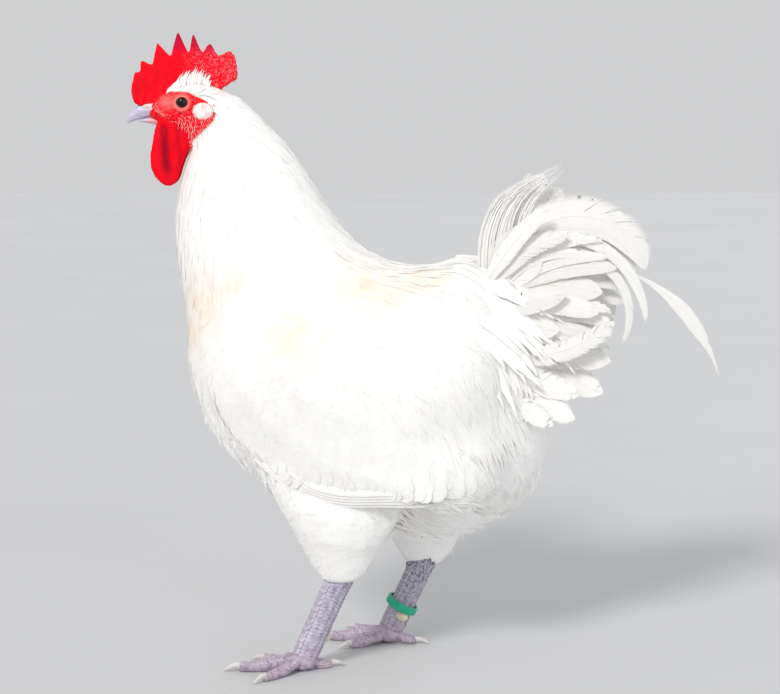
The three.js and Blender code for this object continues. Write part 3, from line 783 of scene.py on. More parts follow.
def skinShape():
    # the comb stays slim above its foot, so that its notches stay open
    look = skinLook
    bm = nodeCopy(fleshNodes + ["eye_left", "eye_right"],
                  lambda p: look["grow"] if p.z < look["combFoot"] else look["combGrow"])
    for swelling in rump:
        addSwelling(bm, **swelling)
    mesh = changed(toMesh(bm), "REMESH", mode="VOXEL", voxel_size=look["voxel"])
    places = placesOf(mesh)
    print(f"skin before thinning: {len(places)} points")
    part = regions(places)
    fine = np.maximum(part["comb"], 0.6 * part["wattle"])
    places = relaxed(mesh, places, 1 - 0.86 * fine, look["passes"])
    setPlaces(mesh, places)
    normals = placesOf(mesh, "normal")
    bare = np.maximum.reduce(list(part.values()))
    bare[places[:, 2] < look["lowestCoat"]] = 1
    move = np.zeros(len(places))
    under = np.flatnonzero(bare < 1)
    onForm, formNormals = coatForm.nearest(places[under])
    depth = fromAnchors(coatDepth, places[under])
    goal = onForm - formNormals * depth
    places[under] += (goal - places[under]) * (1 - bare[under])[:, None]

    # crumbly rear of the comb, and small folds across its foot
    comb = np.flatnonzero(part["comb"] > 0.02)
    spot = places[comb]
    rear = smoothStep(spot[:, 0] - 0.25 * (spot[:, 2] - 455), -166, -152)
    lumps = grain(spot, 2.4) * 0.6 + grain(spot, 1.2, 9) * 0.5
    pleats = np.sin(spot[:, 0] * 0.9 + 2 * grain(spot, 9)) * (1 - smoothStep(spot[:, 2], 440, 458))
    fineBumps = grain(spot, 1.6, 4) * 0.1
    move[comb] += part["comb"][comb] * (rear * lumps + 0.35 * pleats + fineBumps)

    # soft upright folds in the wattles
    flap = np.flatnonzero(part["wattle"] > 0.02)
    spot = places[flap]
    move[flap] += part["wattle"][flap] * (grain(spot, 2.2, 3) * 0.15 - 2.4 * wattleFolds(spot))

    # wrinkles of the face, with a crease back from the corner of the mouth
    apart = (part["comb"] < 0.5) & (part["wattle"] < 0.5) & (np.abs(places[:, 1]) > 5)
    face = np.flatnonzero((part["face"] > 0.02) & apart)
    spot = places[face]
    wrinkle = np.sin((spot[:, 2] - 0.35 * spot[:, 0]) * 1.5 + 3 * grain(spot, 7)) * 0.22
    wrinkle = wrinkle + grain(spot, 2, 5) * 0.35
    mouth = mouthLine(spot)
    crease = -0.9 * np.exp(-(((mouth + 1) / 1.1) ** 2)) + 0.7 * np.exp(-(((mouth - 0.9) / 1.1) ** 2))
    crease = crease * smoothStep(spot[:, 0], -184, -178) * (1 - smoothStep(spot[:, 0], -162, -156))
    move[face] += part["face"][face] * (1 - part["lobe"][face]) * (wrinkle + crease)
    lobe = np.flatnonzero(part["lobe"] > 0.02)
    move[lobe] += part["lobe"][lobe] * (0.3 + grain(places[lobe], 3, 2) * 0.3)
    places = places + normals * move[:, None]

    # the socket behind the lids
    for side in sides.values():
        deep, far, out = eyeOffset(places, side)
        limit = 4.4 + 12 * smoothStep(far, 4.6, 7)
        over = np.flatnonzero((deep > limit) & (far < 8))
        places[over] -= (deep - limit)[over, None] * out
    places[:, 2] = np.maximum(places[:, 2], 0.05)
    setPlaces(mesh, places)

    mesh.calc_loop_triangles()
    feathered = np.flatnonzero(bare < 0.01)
    isBare = bare > 0.01
    kept = isBare[cornersOf(mesh.loop_triangles, 3)].any(1).sum() + look["decimatedBody"]
    share = kept / len(mesh.loop_triangles)
    return changed(mesh, "DECIMATE", group=feathered, ratio=share, use_collapse_triangulate=True)


# the opening of the lids, and the folds round it: distance as a share of it, and height
lids = dict(
    inner=4.1, around=72, start=20, fallback=6, lowest=5.6,
    rings=[(0.98, -0.7), (1.0, -0.1), (1.07, 0.45), (1.17, 0.62), (1.28, 0.42), (1.36, 0.1), (1.45, 0.3),
           (1.58, 0.46), (1.72, 0.22), (1.8, 0.02), (1.92, 0.12), (2.1, -0.1), (2.3, -0.5)],
)


def addLids(bm):
    # a ring of folds round each eye, from the eyeball out into the skin
    tree = BVHTree.FromBMesh(bm)
    for side in sides.values():
        centre, out, ahead, upward = eyeFrame(side)
        loops = []
        for share, lift in lids["rings"]:
            loop = []
            for i in range(lids["around"]):
                turn = tau * i / lids["around"]
                corner = 1 + 0.1 * max(0, cos(turn)) ** 6 + 0.07 * max(0, -cos(turn)) ** 6
                corner -= 0.03 * sin(turn) ** 2
                reach = lids["inner"] * share * (corner if share < 1.3 else 1 + (corner - 1) * 0.4)
                flat = ahead * (cos(turn) * reach) + upward * (sin(turn) * reach)
                onBall = sqrt(max(eyes["radius"] ** 2 - reach**2, 0)) if reach < eyes["radius"] else 0
                hit = tree.ray_cast(centre + flat + out * lids["start"], -out)[0]
                onSkin = (hit - centre).dot(out) if hit else lids["fallback"]
                blend = min(1, max(0, (share - 1.1) / 0.5))
                crinkle = 0.12 * sin(turn * 17 + share * 9) * min(1, max(0, (share - 1.15) * 4))
                deep = onBall * (1 - blend) + max(onSkin, lids["lowest"]) * blend + lift + crinkle
                loop.append(bm.verts.new(centre + flat + out * deep))
            loops.append(loop)
        faces = []
        for first, second in zip(loops, loops[1:]):
            for i in range(lids["around"]):
                j = (i + 1) % lids["around"]
                faces.append(bm.faces.new((first[i], first[j], second[j], second[i])))
        bmesh.ops.recalc_face_normals(bm, faces=faces)
        if sum(face.normal.dot(out) for face in faces) < 0:
            bmesh.ops.reverse_faces(bm, faces=faces)


def headMarks(places, part):
    # painted shade in the folds of the wattles, dark tips of the comb, and pale skin by the eye and the mouth
    marks = {key: np.zeros(len(places)) for key in ("fold", "tips", "pale")}
    flap = np.flatnonzero(part["wattle"] > 0.02)
    marks["fold"][flap] = np.minimum(wattleFolds(places[flap]), 1)
    hanging = (places[:, 0] < -169) & (places[:, 2] > 366) & (places[:, 2] < 410)
    marks["wattle"] = np.maximum(part["wattle"], hanging)
    head = np.flatnonzero(places[:, 2] > 400)
    spot = places[head]
    marks["tips"][head] = smoothStep(spot[:, 2], 464, 478) * smoothStep(spot[:, 0], -178, -168)
    before = np.exp(-(((spot[:, 0] + 175) / 7) ** 2) - ((spot[:, 2] - 432) / 5) ** 2)
    line = np.exp(-(((mouthLine(spot) - 0.9) / 0.8) ** 2)) * (1 - smoothStep(spot[:, 0], -162, -154))
    line = line * smoothStep(spot[:, 0], -186, -182)
    marks["pale"][head] = part["face"][head] * np.maximum(0.7 * before, line)
    near = [(1 - smoothStep(far, 5, 8)) * (deep > 0)
            for deep, far, _ in (eyeOffset(places, side) for side in sides.values())]
    return dict(marks, ring=np.maximum(*near))


def addSkin(material):
    mesh = skinShape()
    bm = bmesh.new()
    bm.from_mesh(mesh)
    bpy.data.meshes.remove(mesh)
    addLids(bm)
    mesh = toMesh(bm)
    places = placesOf(mesh)
    part = regions(places, 2.6)
    part.update(headMarks(places, part))
    for name, values in part.items():
        addValues(mesh, name, values)
    addPiece("skin", mesh, material, "flesh", *fleshNodes)


def skinMaterial():
    paint = Paint("fleshAndSkin", Specular_IOR_Level=0.1, Subsurface_Weight=0.2, Subsurface_Scale=0.003,
                  Subsurface_Radius=(1, 0.15, 0.12))
    look = skinLook
    place = paint.place()
    along, _, height = paint.parts(place)
    comb, wattle, face, lobe, leg = (paint.own(key) for key in ("comb", "wattle", "face", "lobe", "leg"))
    flesh = comb.calc("MAXIMUM", comb.calc("MAXIMUM", comb, wattle), face)
    cloud = paint.noise(place, 120, 4)
    grit = paint.noise(place, 700, 3)
    red = paint.mix(paint.ramp(cloud, (0.4, 0), (0.8, 0.25)), look["red"], look["deepRed"])
    # painted shade: the wattle folds are darkened towards deep red, on top of the grooves cut in the skin
    red = paint.mix(paint.own("fold") * 0.85, red, look["deepRed"])
    red = paint.mix(paint.own("tips") * paint.ramp(cloud, (0.3, 0.6), (0.6, 1)), red, look["crimson"])
    bare = face * (1 - comb) * (1 - wattle)
    veins = paint.ramp(grit, (0.5, 0), (0.7, 0.45))
    red = paint.mix(veins * bare, red, look["pink"])
    red = paint.mix(paint.own("pale") * bare * paint.ramp(grit, (0.25, 0.5), (0.6, 1)), red, look["pink"])
    red = paint.mix(paint.own("ring") * 0.75, red, look["pink"])
    rear = paint.ramp((along - (home[0] - 166) * mm) * 60, (0, 0), (1, 1))
    crumbs = paint.ramp(paint.noise(place, 800, 4, 0.7), (0.5, 0), (0.62, 0.75))
    patchy = paint.ramp(paint.noise(place, 160, 2), (0.35, 0.15), (0.55, 1))
    low = paint.ramp((height - 0.466) * 140, (0, 1), (1, 0.12))
    red = paint.mix(crumbs * patchy * rear * comb * low, red, look["crumb"])
    base = paint.mix(flesh, look["white"], red)
    base = paint.mix(lobe * paint.ramp(cloud, (0.2, 0.9), (0.5, 1)), base, look["lobe"])
    toes = paint.ramp(height * 40, (0.35, 1), (1, 0))
    shanks = paint.mix(toes * 0.75, look["slate"], look["rose"])
    speckles = paint.ramp(paint.noise(place, 230, 5, 0.7), (0.45, 0), (0.65, 0.6))
    base = paint.mix(leg, base, paint.mix(speckles, shanks, look["speckle"]))
    pores = paint.node("ShaderNodeTexVoronoi", dict(feature="F1"), dict(Vector=place, Scale=900), "Distance")
    relief = paint.bump(pores * 0.6 + grit * 0.8 + cloud * 0.4, 0.0003, 0.6)
    return paint.finish(Base_Color=base, Roughness=0.52 + 0.12 * grit, Normal=relief)


# eyes

eyeLook = dict(segments=48, rings=32, cornea=0.55, dark=(0.035, 0.008, 0.004), brown=(0.1, 0.02, 0.008),
               pupil=(0.002, 0.001, 0.001), rim=(0.03, 0.01, 0.006))


def eyeMaterial():
    look = eyeLook
    paint = Paint("eye", Roughness=0.08, Specular_IOR_Level=0.05, Coat_Weight=0.6, Coat_Roughness=0.03)
    place = paint.place()
    out = paint.own("out")
    threads = paint.noise(paint.stretch(place, 900, 900, 900), 1, 4)
    iris = paint.mix(paint.ramp(threads, (0.35, 0), (0.7, 1)), look["dark"], look["brown"])
    pupil = paint.ramp(out, (0.895, 0), (0.905, 1))
    rim = paint.ramp(out, (0.74, 1), (0.79, 0))
    base = paint.mix(rim, paint.mix(pupil, iris, look["pupil"]), look["rim"])
    return paint.finish(Base_Color=base)


def addEyes(material):
    look = eyeLook
    for name, side in sides.items():
        centre, out, _, _ = eyeFrame(side)
        bm = bmesh.new()
        bmesh.ops.create_uvsphere(bm, u_segments=look["segments"], v_segments=look["rings"],
                                  radius=eyes["radius"])
        turn = Vector((0, 0, 1)).rotation_difference(out).to_matrix().to_4x4()
        share = []
        for vertex in bm.verts:
            near = vertex.co.z / eyes["radius"]
            vertex.co.z += look["cornea"] * float(smoothStep(near, 0.84, 0.99))
            share.append(near)
        bmesh.ops.transform(bm, matrix=Matrix.Translation(centre) @ turn, verts=bm.verts)
        mesh = toMesh(bm)
        addValues(mesh, "out", share)
        addPiece(f"eyeball_{name}", mesh, material, "eye", f"eye_{name}")


# beak, claws and spurs

# colours of each horn: most of it, its root, its streaks, and the flap over the nostril
horns = dict(
    bill=((0.62, 0.58, 0.72), (0.8, 0.4, 0.42), (0.4, 0.37, 0.52)),
    claw=((0.68, 0.64, 0.62), (0.55, 0.45, 0.48), (0.5, 0.46, 0.46)),
    spur=((0.78, 0.7, 0.55), (0.6, 0.5, 0.5), (0.66, 0.56, 0.42)),
    flap=(0.86, 0.66, 0.5),
)


def hornMaterial(kind):
    colour, base, streak = horns[kind]
    paint = Paint(f"{kind}Horn", Roughness=0.32, Specular_IOR_Level=0.35)
    place = paint.place()
    root = paint.own("root")
    lines = paint.noise(paint.stretch(place, 160, 500, 900), 1, 3)
    mixed = paint.mix(paint.ramp(lines, (0.35, 0), (0.75, 1)), colour, streak)
    mixed = paint.mix(root, mixed, base)
    mixed = paint.mix(paint.own("flap"), mixed, horns["flap"])
    rough = 0.28 + 0.25 * lines
    return paint.finish(Base_Color=mixed, Roughness=rough, Normal=paint.bump(lines, 0.0003, 0.5))


beak = dict(grow=0.12, voxel=0.42, passes=14)
nostril = dict(x=-190.5, z=427.2, length=3.4, height=0.9, depth=1.2, slope=0.6, flapAbove=1.7, flapOut=0.5)


def addBeak(material):
    for name in ("beak_upper", "beak_lower"):
        copy = toMesh(nodeCopy([name], beak["grow"]))
        mesh = changed(copy, "REMESH", mode="VOXEL", voxel_size=beak["voxel"])
        places = placesOf(mesh)
        places = relaxed(mesh, places, np.ones(len(places)), beak["passes"])
        x, y, z = places.T
        root = smoothStep(x - 0.5 * (z - 424), -192, -184)
        flap = np.zeros(len(places))
        if name == "beak_upper":
            slit = nostril
            behind, above = x - slit["x"], z - slit["z"]
            off = ((behind + slit["slope"] * above) / slit["length"]) ** 2 + (above / slit["height"]) ** 2
            places[:, 1] -= np.sign(y) * slit["depth"] * np.exp(-off)
            flap = np.exp(-((behind / 4) ** 2) - ((above - slit["flapAbove"]) / 1.2) ** 2)
            places[:, 1] += np.sign(y) * slit["flapOut"] * flap
        setPlaces(mesh, places)
        for polygon in mesh.polygons:
            polygon.use_smooth = True
        addValues(mesh, "flap", flap)
        addValues(mesh, "root", root)
        addPiece(name.replace("beak", "bill"), mesh, material, "horn", name)


legs = dict(
    left=dict(side=-1, hock=(-40, -37, 86), ankle=(-73, -38, 12), spurBehind=6),
    right=dict(side=1, hock=(25, 34, 82), ankle=(-7, 36, 12), spurBehind=0.5),
)
toes = dict(
    inner=dict(turn=-30, length=37, radius=4.1, claw=12),
    middle=dict(turn=6, length=50, radius=4.5, claw=13),
    outer=dict(turn=46, length=42, radius=4.0, claw=11),
    hind=dict(turn=-164, length=21, radius=3.6, claw=11),
)


def curvePoint(points, t):
    # a smooth line through the points
    points = np.asarray(points, float)
    at = min(max(t, 0), 1) * (len(points) - 1)
    i = min(int(at), len(points) - 2)
    s = at - i
    before = points[i - 1] if i else 2 * points[0] - points[1]
    after = points[i + 2] if i + 2 < len(points) else 2 * points[-1] - points[-2]
    a, b = points[i], points[i + 1]
    made = 2 * a + (b - before) * s + (2 * before - 5 * a + 4 * b - after) * s**2
    return Vector((made + (3 * a - before - 3 * b + after) * s**3) / 2)


def rod(points, radii, around=14, along=16):
    # a tapering round body along a smooth line, made from a cylinder
    bm = bmesh.new()
    bmesh.ops.create_cone(bm, cap_ends=True, cap_tris=True, segments=around, radius1=1, radius2=1, depth=1)
    long = [e for e in bm.edges if abs(e.verts[0].co.z - e.verts[1].co.z) > 0.5]
    bmesh.ops.subdivide_edges(bm, edges=long, cuts=along - 1, use_grid_fill=True)
    shares = []
    for vertex in bm.verts:
        t = vertex.co.z + 0.5
        ahead = (curvePoint(points, t + 0.02) - curvePoint(points, t - 0.02)).normalized()
        side = Vector((0, 0, 1)).cross(ahead).normalized()
        wide, high = radii(t)
        vertex.co = curvePoint(points, t) + side * vertex.co.x * wide + ahead.cross(side) * vertex.co.y * high
        shares.append(t)
    bmesh.ops.recalc_face_normals(bm, faces=bm.faces)
    mesh = toMesh(bm)
    addValues(mesh, "root", 1 - smoothStep(np.array(shares), 0, 0.35))
    return mesh


def toeWay(leg, toe):
    turn = radians(toe["turn"])
    return Vector((-cos(turn), leg["side"] * sin(turn), 0))


def toeLine(leg, toe):
    start = Vector((leg["ankle"][0], leg["ankle"][1], 11))
    heights = [(0, 11), (0.3, 7), (0.62, toe["radius"] - 0.5), (1, toe["radius"] - 0.6)]
    line = [start + toeWay(leg, toe) * (toe["length"] * share) for share, _ in heights]
    return [Vector((p.x, p.y, z)) for p, (_, z) in zip(line, heights)]


def addClaws(material):
    for name, leg in legs.items():
        for toeName, toe in toes.items():
            end, way = toeLine(leg, toe)[3], toeWay(leg, toe)
            spots = [(-0.3, toe["radius"] * 0.9), (0.2, toe["radius"] + 0.7), (0.65, 3.2), (1, 1.2)]
            line = [Vector((*(end + way * (toe["claw"] * share)).xy, z)) for share, z in spots]

            def radii(t):
                size = toe["radius"] * (1 - t) ** 0.8
                return size * 0.62 + 0.25, size * 0.72 + 0.3

            mesh = rod(line, radii, around=12, along=12)
            addPiece(f"nail_{name}_{toeName}", mesh, material, "claw", f"claw_{name}_{toeName}")


spur = dict(along=0.82, length=12, radius=5, droop=2)


def addSpurs(material):
    for name, leg in legs.items():
        hock, ankle = Vector(leg["hock"]), Vector(leg["ankle"])
        root = hock.lerp(ankle, spur["along"])
        way = Vector((0.5 * spur["length"], -leg["side"] * 0.86 * spur["length"], -spur["droop"]))
        start = root + Vector((leg["spurBehind"], -leg["side"] * 2, 0))

        def radii(t):
            size = spur["radius"] * sqrt(max(1 - t**2.4, 0.001))
            return size, size

        mesh = rod([start, start + way * 0.5, start + way], radii, around=20, along=14)
        addPiece(f"spur_horn_{name}", mesh, material, "spur", f"spur_{name}")


# scales and leg ring

scutes = dict(
    # angle from the front of the shank, length and half width of each row of plates
    rows=[(-26, 6.2, 4.1), (26, 6.2, 4.1), (-70, 3.6, 2.6), (70, 3.6, 2.6), (-105, 3.2, 2.4), (105, 3.2, 2.4),
          (-140, 3.4, 2.4), (140, 3.4, 2.4), (180, 4, 2.8)],
    reach=14, down=0.97, overlap=0.82, lift=0.8, arch=0.3, sway=0.03, seed=200,
    voxel=1.1, passes=3, depth=0.4, steps=4, thick=0.7,
)
toeScutes = dict(spacing=3.1, first=0.34, covered=0.64, above=6, length=4.2, widest=1.2, taper=0.4, lift=0.7,
                 arch=0.55, sway=0.04, seed=300)


def plateEdge(t):
    return np.minimum(1, 0.7 + 2 * t) * np.sqrt(np.clip(1 - np.clip((t - 0.55) / 0.45, 0, 1) ** 2.6, 0.01, 1))


def plateRow(form, roots, way, length, half, look, seed, bakeAt):
    # one row of plates that point the same way, with the places of their patches on the unwrap
    path, up = laid(form, roots, length, scutes["depth"], look["lift"], scutes["steps"],
                    lambda p: np.broadcast_to(way, p.shape), look["sway"], 1, seed)
    bake = np.stack([np.broadcast_to(value, len(roots)) for value in bakeAt], 1)
    return dict(path=path, up=up, half=half, thick=scutes["thick"], droop=look["arch"], bake=bake,
                shapes=[vane(5, plateEdge)])


def addScutes(material):
    for name, leg in legs.items():
        form = Form([f"shank_{name}", f"foot_{name}"], voxel=scutes["voxel"], passes=scutes["passes"])
        hock, ankle = Vector(leg["hock"]), Vector(leg["ankle"])
        down = (ankle - hock).normalized()
        outwards = Vector((0, leg["side"], 0))
        front = outwards.cross(down).normalized()
        front *= -1 if front.x > 0 else 1
        farSide = 0.3 * (leg["side"] > 0)
        groups = []
        for angle, length, half in scutes["rows"]:
            way = front * cos(radians(angle)) + outwards * sin(radians(angle))
            steps = int((ankle - hock).length * scutes["down"] / (length * scutes["overlap"]))
            shares = scutes["down"] * (np.arange(steps) + 0.5 * (angle > 0)) / steps
            roots = np.array([tuple(hock.lerp(ankle, share) + way * scutes["reach"]) for share in shares])
            bakeAt = (0.2 + farSide + roots[:, 2] * 0.002, angle / 360 + 0.5)
            groups.append(plateRow(form, roots, down, length, half, scutes, angle + scutes["seed"], bakeAt))
        look = toeScutes
        for number, toe in enumerate(toes.values()):
            steps = int(toe["length"] * look["covered"] / look["spacing"])
            shares = look["first"] + look["covered"] * np.arange(steps) / steps
            line = toeLine(leg, toe)
            roots = np.array([tuple(curvePoint(line, t) + Vector((0, 0, look["above"]))) for t in shares])
            half = toe["radius"] * (look["widest"] - look["taper"] * shares)
            bakeAt = (0.3 + farSide + shares * 0.1, 0.1 + 0.05 * number)
            groups.append(plateRow(form, roots, toeWay(leg, toe), look["length"], half, look,
                                   look["seed"] + number, bakeAt))
        addPiece(f"scutes_{name}", coatMesh(groups), material, "scales")


scaleLook = dict(skinLook, pale=(0.52, 0.49, 0.58), blotch=(0.3, 0.22, 0.36), edge=(0.68, 0.64, 0.7))


def scaleMaterial():
    paint = Paint("scales", Specular_IOR_Level=0.35)
    look = scaleLook
    place = paint.place()
    across, along, _ = paint.parts(paint.node("ShaderNodeUVMap", dict(uv_map="vane")))
    _, sideways, height = paint.parts(place)
    pale = paint.mix(paint.own("tone"), look["slate"], look["pale"])
    toes = paint.ramp(height * 40, (0.2, 1), (0.9, 0))
    base = paint.mix(toes * 0.8, pale, look["rose"])
    speckles = paint.ramp(paint.noise(place, 640, 3, 0.6), (0.52, 0), (0.57, 0.95))
    high = paint.ramp(height * 12, (0.35, 0.12), (0.65, 1)) * paint.ramp(sideways * 60, (0, 0.35), (1, 1))
    base = paint.mix(speckles * high, base, look["speckle"])
    blotches = paint.ramp(paint.noise(place, 200, 4, 0.6), (0.45, 0), (0.6, 0.6))
    base = paint.mix(blotches * (1 - high), base, look["blotch"])
    edge = paint.ramp(across.abs() * 4, (0.9, 0), (1.6, 0.45))
    base = paint.mix(edge, base, look["edge"])
    grit = paint.noise(place, 1500, 3)
    ridges = (along * 90).sine()
    relief = paint.bump(grit + ridges * 0.2, 0.0002, 0.6)
    return paint.finish(Base_Color=base, Roughness=0.36 + 0.2 * grit, Normal=relief)


ringLook = dict(rounding=0.6, roundingSteps=4, steps=96, green=(0.0, 0.36, 0.2), pale=(0.02, 0.46, 0.29),
                dirt=(0.1, 0.2, 0.13))


def addRing(material):
    # a flat ring with rounded rims, spun about the axis of the ring in the frame
    look = ringLook
    bm = nodeCopy(["leg_band"])
    spots = np.array([tuple(v.co) for v in bm.verts])
    bm.free()
    centre = (spots.min(0) + spots.max(0)) / 2
    axis = Vector(np.linalg.svd(spots - spots.mean(0))[2][2])
    radii = np.linalg.norm(np.cross(spots - centre, axis), axis=1)
    inner, outer = radii.min(), radii.max()
    height = np.ptp((spots - centre) @ np.array(axis))
    bm = bmesh.new()
    bmesh.ops.create_grid(bm, x_segments=1, y_segments=1, size=0.5)
    for vertex in bm.verts:
        vertex.co = ((inner + outer) / 2 + vertex.co.x * (outer - inner), 0, vertex.co.y * height)
    bmesh.ops.bevel(bm, geom=bm.verts[:], offset=look["rounding"], offset_type="OFFSET",
                    segments=look["roundingSteps"], profile=0.5, affect="VERTICES", material=-1)
    rim = bm.edges[:]
    bmesh.ops.delete(bm, geom=bm.faces[:], context="FACES_ONLY")
    bmesh.ops.spin(bm, geom=rim, cent=(0, 0, 0), axis=(0, 0, 1), angle=tau, steps=look["steps"],
                   use_merge=True)
    bmesh.ops.recalc_face_normals(bm, faces=bm.faces)
    turn = Vector((0, 0, 1)).rotation_difference(axis).to_matrix().to_4x4()
    bmesh.ops.transform(bm, matrix=Matrix.Translation(centre) @ turn, verts=bm.verts)
    addPiece("ring", toMesh(bm), material, "ring", "leg_band")


def ringMaterial():
    paint = Paint("greenPlastic", Specular_IOR_Level=0.4, Coat_Weight=0.15)
    place = paint.place()
    wear = paint.noise(place, 260, 5, 0.65)
    base = paint.mix(paint.ramp(wear, (0.35, 0), (0.75, 1)), ringLook["green"], ringLook["pale"])
    dirt = paint.ramp(paint.noise(place, 900, 3), (0.62, 0), (0.72, 0.35))
    base = paint.mix(dirt, base, ringLook["dirt"])
    return paint.finish(Base_Color=base, Roughness=0.3 + 0.25 * wear, Normal=paint.bump(wear, 0.0002, 0.4))


# body feathers

wingOutline = [
    (-143, 224), (-136, 199), (-120, 177), (-96, 159), (-70, 145.5), (-45, 139), (-11, 139), (27, 137),
    (24, 158), (10, 196), (-14, 240), (-50, 268), (-90, 278), (-123, 266), (-138, 246),
]
lowerEdge = wingOutline[:8] + wingOutline[6:0:-1]   # out and back
freeEdge = wingOutline[3:8] + wingOutline[6:3:-1]
blendEdge = wingOutline[8:] + wingOutline[-2:8:-1]

# where the blend starts and ends, by the distance from each line or place
wingSeam = dict(edge=(6, 22), behind=(34, 56), hollow=(48, 192), free=(6, 20), across=(24, 36))


def wingBlend(points):
    # where the wing and the flank behind it pass into the body with no step
    look = wingSeam
    near = 1 - smoothStep(np.abs(outlineDistance(blendEdge, points)), *look["edge"])
    behind = 1 - smoothStep(np.linalg.norm(points[:, [0, 2]] - look["hollow"], axis=1), *look["behind"])
    free = smoothStep(outlineDistance(freeEdge, points), *look["free"])
    return np.maximum(near, behind) * free * smoothStep(np.abs(points[:, 1]), *look["across"])


def onThigh(points, reach=3.5):
    found = []
    for name, leg in legs.items():
        own = (points[:, 1] * leg["side"] > 4) & (points[:, 2] < 185)
        own[own] = nearNodes(points[own], [f"thigh_{name}"], reach) > 0
        found.append(own)
    return found


def onThighs(points, reach=3.5):
    return np.logical_or(*onThigh(points, reach))


def onWing(points, margin):
    return (outlineDistance(wingOutline, points) < margin) & (np.abs(points[:, 1]) > 35)


# The settings of each coat hold the spacing of its roots, the length and half width of its feathers,
# and their depth at the root and lift at the tip. A list of pairs gives a value at a station along
# the body, or at a height, and a pair of numbers gives the range of a random one. The sowing, the lie
# and the shapes each have their own seed.

def sowing(look):
    return lambda points: between(stations(points)[0], *look["spacing"])


def rootDepth(roots):
    return fromAnchors(coatDepth, roots)[:, 0] * 0.85


def shapesOf(look):
    return [look["kind"](*look["shape"], seed=look["shaping"] + k) for k in range(look["kinds"])]


def grown(form, roots, look, length, half, depth, lift, heading=None):
    path, up = laid(form, roots, length, depth, lift, look["steps"], heading or lie(bodyFlow), look["sway"],
                    look.get("settle", 4.0), look["laying"])
    droop = look["droop"] if "droop" in look else hugged(form, path, up, half, look["spare"])
    return dict(path=path, up=up, half=half, thick=look["thick"], droop=droop, root=roots,
                shapes=shapesOf(look))


hackle = dict(
    last=5.3, lowest=245, foremost=-176, clear=0.5, nape=-135,
    spacing=[(-2.5, 1.7), (-0.8, 1.9), (0, 2.3), (2, 3.1), (4, 3.9), (5.5, 4.6)],
    length=[(-2.5, 7), (-1.2, 9), (0, 17), (1.5, 40), (3, 62), (4.5, 76), (5.5, 62)], uneven=0.1,
    half=[(-2.5, 0.9), (-1, 1.2), (0, 1.8), (2, 3.1), (4, 4.4), (5.5, 5.2)],
    lift=[(-1, 0.3), (3, 0.8)], ruffle=0.15,
    sowing=11, laying=12, shaping=0, steps=7, sway=0.06, spare=0.015, thick=0.22,
    kind=vane, shape=(7, pointed, 0.1), kinds=3,
)


def addHackle(material):
    look = hackle

    def where(points):
        x, _, z = points.T
        onNeck = (stations(points)[0] < look["last"]) & (z > look["lowest"]) & (x > look["foremost"])
        return onNeck & ((outlineDistance(bareFace, points) > look["clear"]) | (x > look["nape"]))

    roots = coatForm.sown(sowing(look), where, look["sowing"])
    along = stations(roots)[0]
    length = between(along, *look["length"])
    length = length * (1 + look["uneven"] * np.sin(roots[:, 0] * 0.7 + roots[:, 2]))
    lift = between(along, *look["lift"]) + rng.normal(0, look["ruffle"], len(roots))
    coat = grown(coatForm, roots, look, length, between(along, *look["half"]), rootDepth(roots), lift)
    addPiece("hackle", coatMesh([coat]), material, "plumage")


# spiky feathers that lean on the foot of the comb: roots, tips, how many
brow = dict(
    roots=[(-176.5, 436), (-171, 439), (-165.6, 442), (-159.6, 444), (-153.6, 445.4), (-147.5, 445.4),
           (-143, 443.7)],
    tips=[(-172, 443), (-167, 450), (-162, 455), (-155.5, 457), (-149.5, 456.5), (-145, 453),
          (-140.5, 448.5)],
    count=46, rootOut=7.4, tipOut=4.6, stretch=(0.6, 1.12), half=(0.5, 0.9), thick=0.3, droop=0.1,
    seed=15, shaping=17, kind=vane, shape=(6, pointed, 0.12), kinds=3,
)


def addBrow(material):
    look = brow
    own = np.random.default_rng(look["seed"])
    paths = []
    for side in sides.values():
        for i in range(look["count"]):
            share = (i + own.random()) / look["count"]
            root, tip = (curvePoint([(x, 0, z) for x, z in look[end]], share) for end in ("roots", "tips"))
            tip = root + (tip - root) * own.uniform(*look["stretch"])
            tip += Vector((own.normal(0, 0.8), 0, own.normal(0, 0.5)))
            start = Vector((root.x, side * (look["rootOut"] - 0.8), root.z - 1.5))
            bend = root.lerp(tip, 0.5) + Vector((-0.5, 0, 0.4))
            bend.y = side * (look["rootOut"] - 0.4 + own.normal(0, 0.25))
            tip.y = side * (look["tipOut"] + own.uniform(0, 1))
            paths.append([tuple(curvePoint([start, bend, tip], t)) for t in np.linspace(0, 1, 6)])
    path = np.array(paths)
    up = np.zeros_like(path)
    up[..., 1] = np.sign(path[..., 1])
    coat = dict(path=path, up=up, half=own.uniform(*look["half"], len(path)), thick=look["thick"],
                droop=look["droop"], shapes=shapesOf(look))
    addPiece("brow", coatMesh([coat]), material, "plumage")


bristles = dict(
    inside=-0.5, out=7, mouth=2.2, cheek=(-168, 421), spacing=[(0, 1.7)],
    length=(2, 4.2), half=0.2, depth=0.5, lift=(1.2, 2.2),
    sowing=18, laying=19, shaping=0, steps=4, sway=0.35, settle=1, droop=0, thick=0.3,
    kind=vane, shape=(3, bristle), kinds=1,
)


def addBristles(material):
    # sparse hair-like feathers on the cheeks
    look = bristles

    def where(points):
        x, y, z = points.T
        line = np.abs(mouthLine(points)) < look["mouth"]
        low = (x > look["cheek"][0]) & (z < look["cheek"][1])
        inside = outlineDistance(bareFace, points) < look["inside"]
        return inside & (np.abs(y) > look["out"]) & (line | low)

    roots = coatForm.sown(sowing(look), where, look["sowing"])
    length, lift = (rng.uniform(*look[key], len(roots)) for key in ("length", "lift"))
    coat = grown(coatForm, roots, look, length, look["half"], look["depth"], lift)
    addPiece("bristles", coatMesh([coat]), material, "plumage")


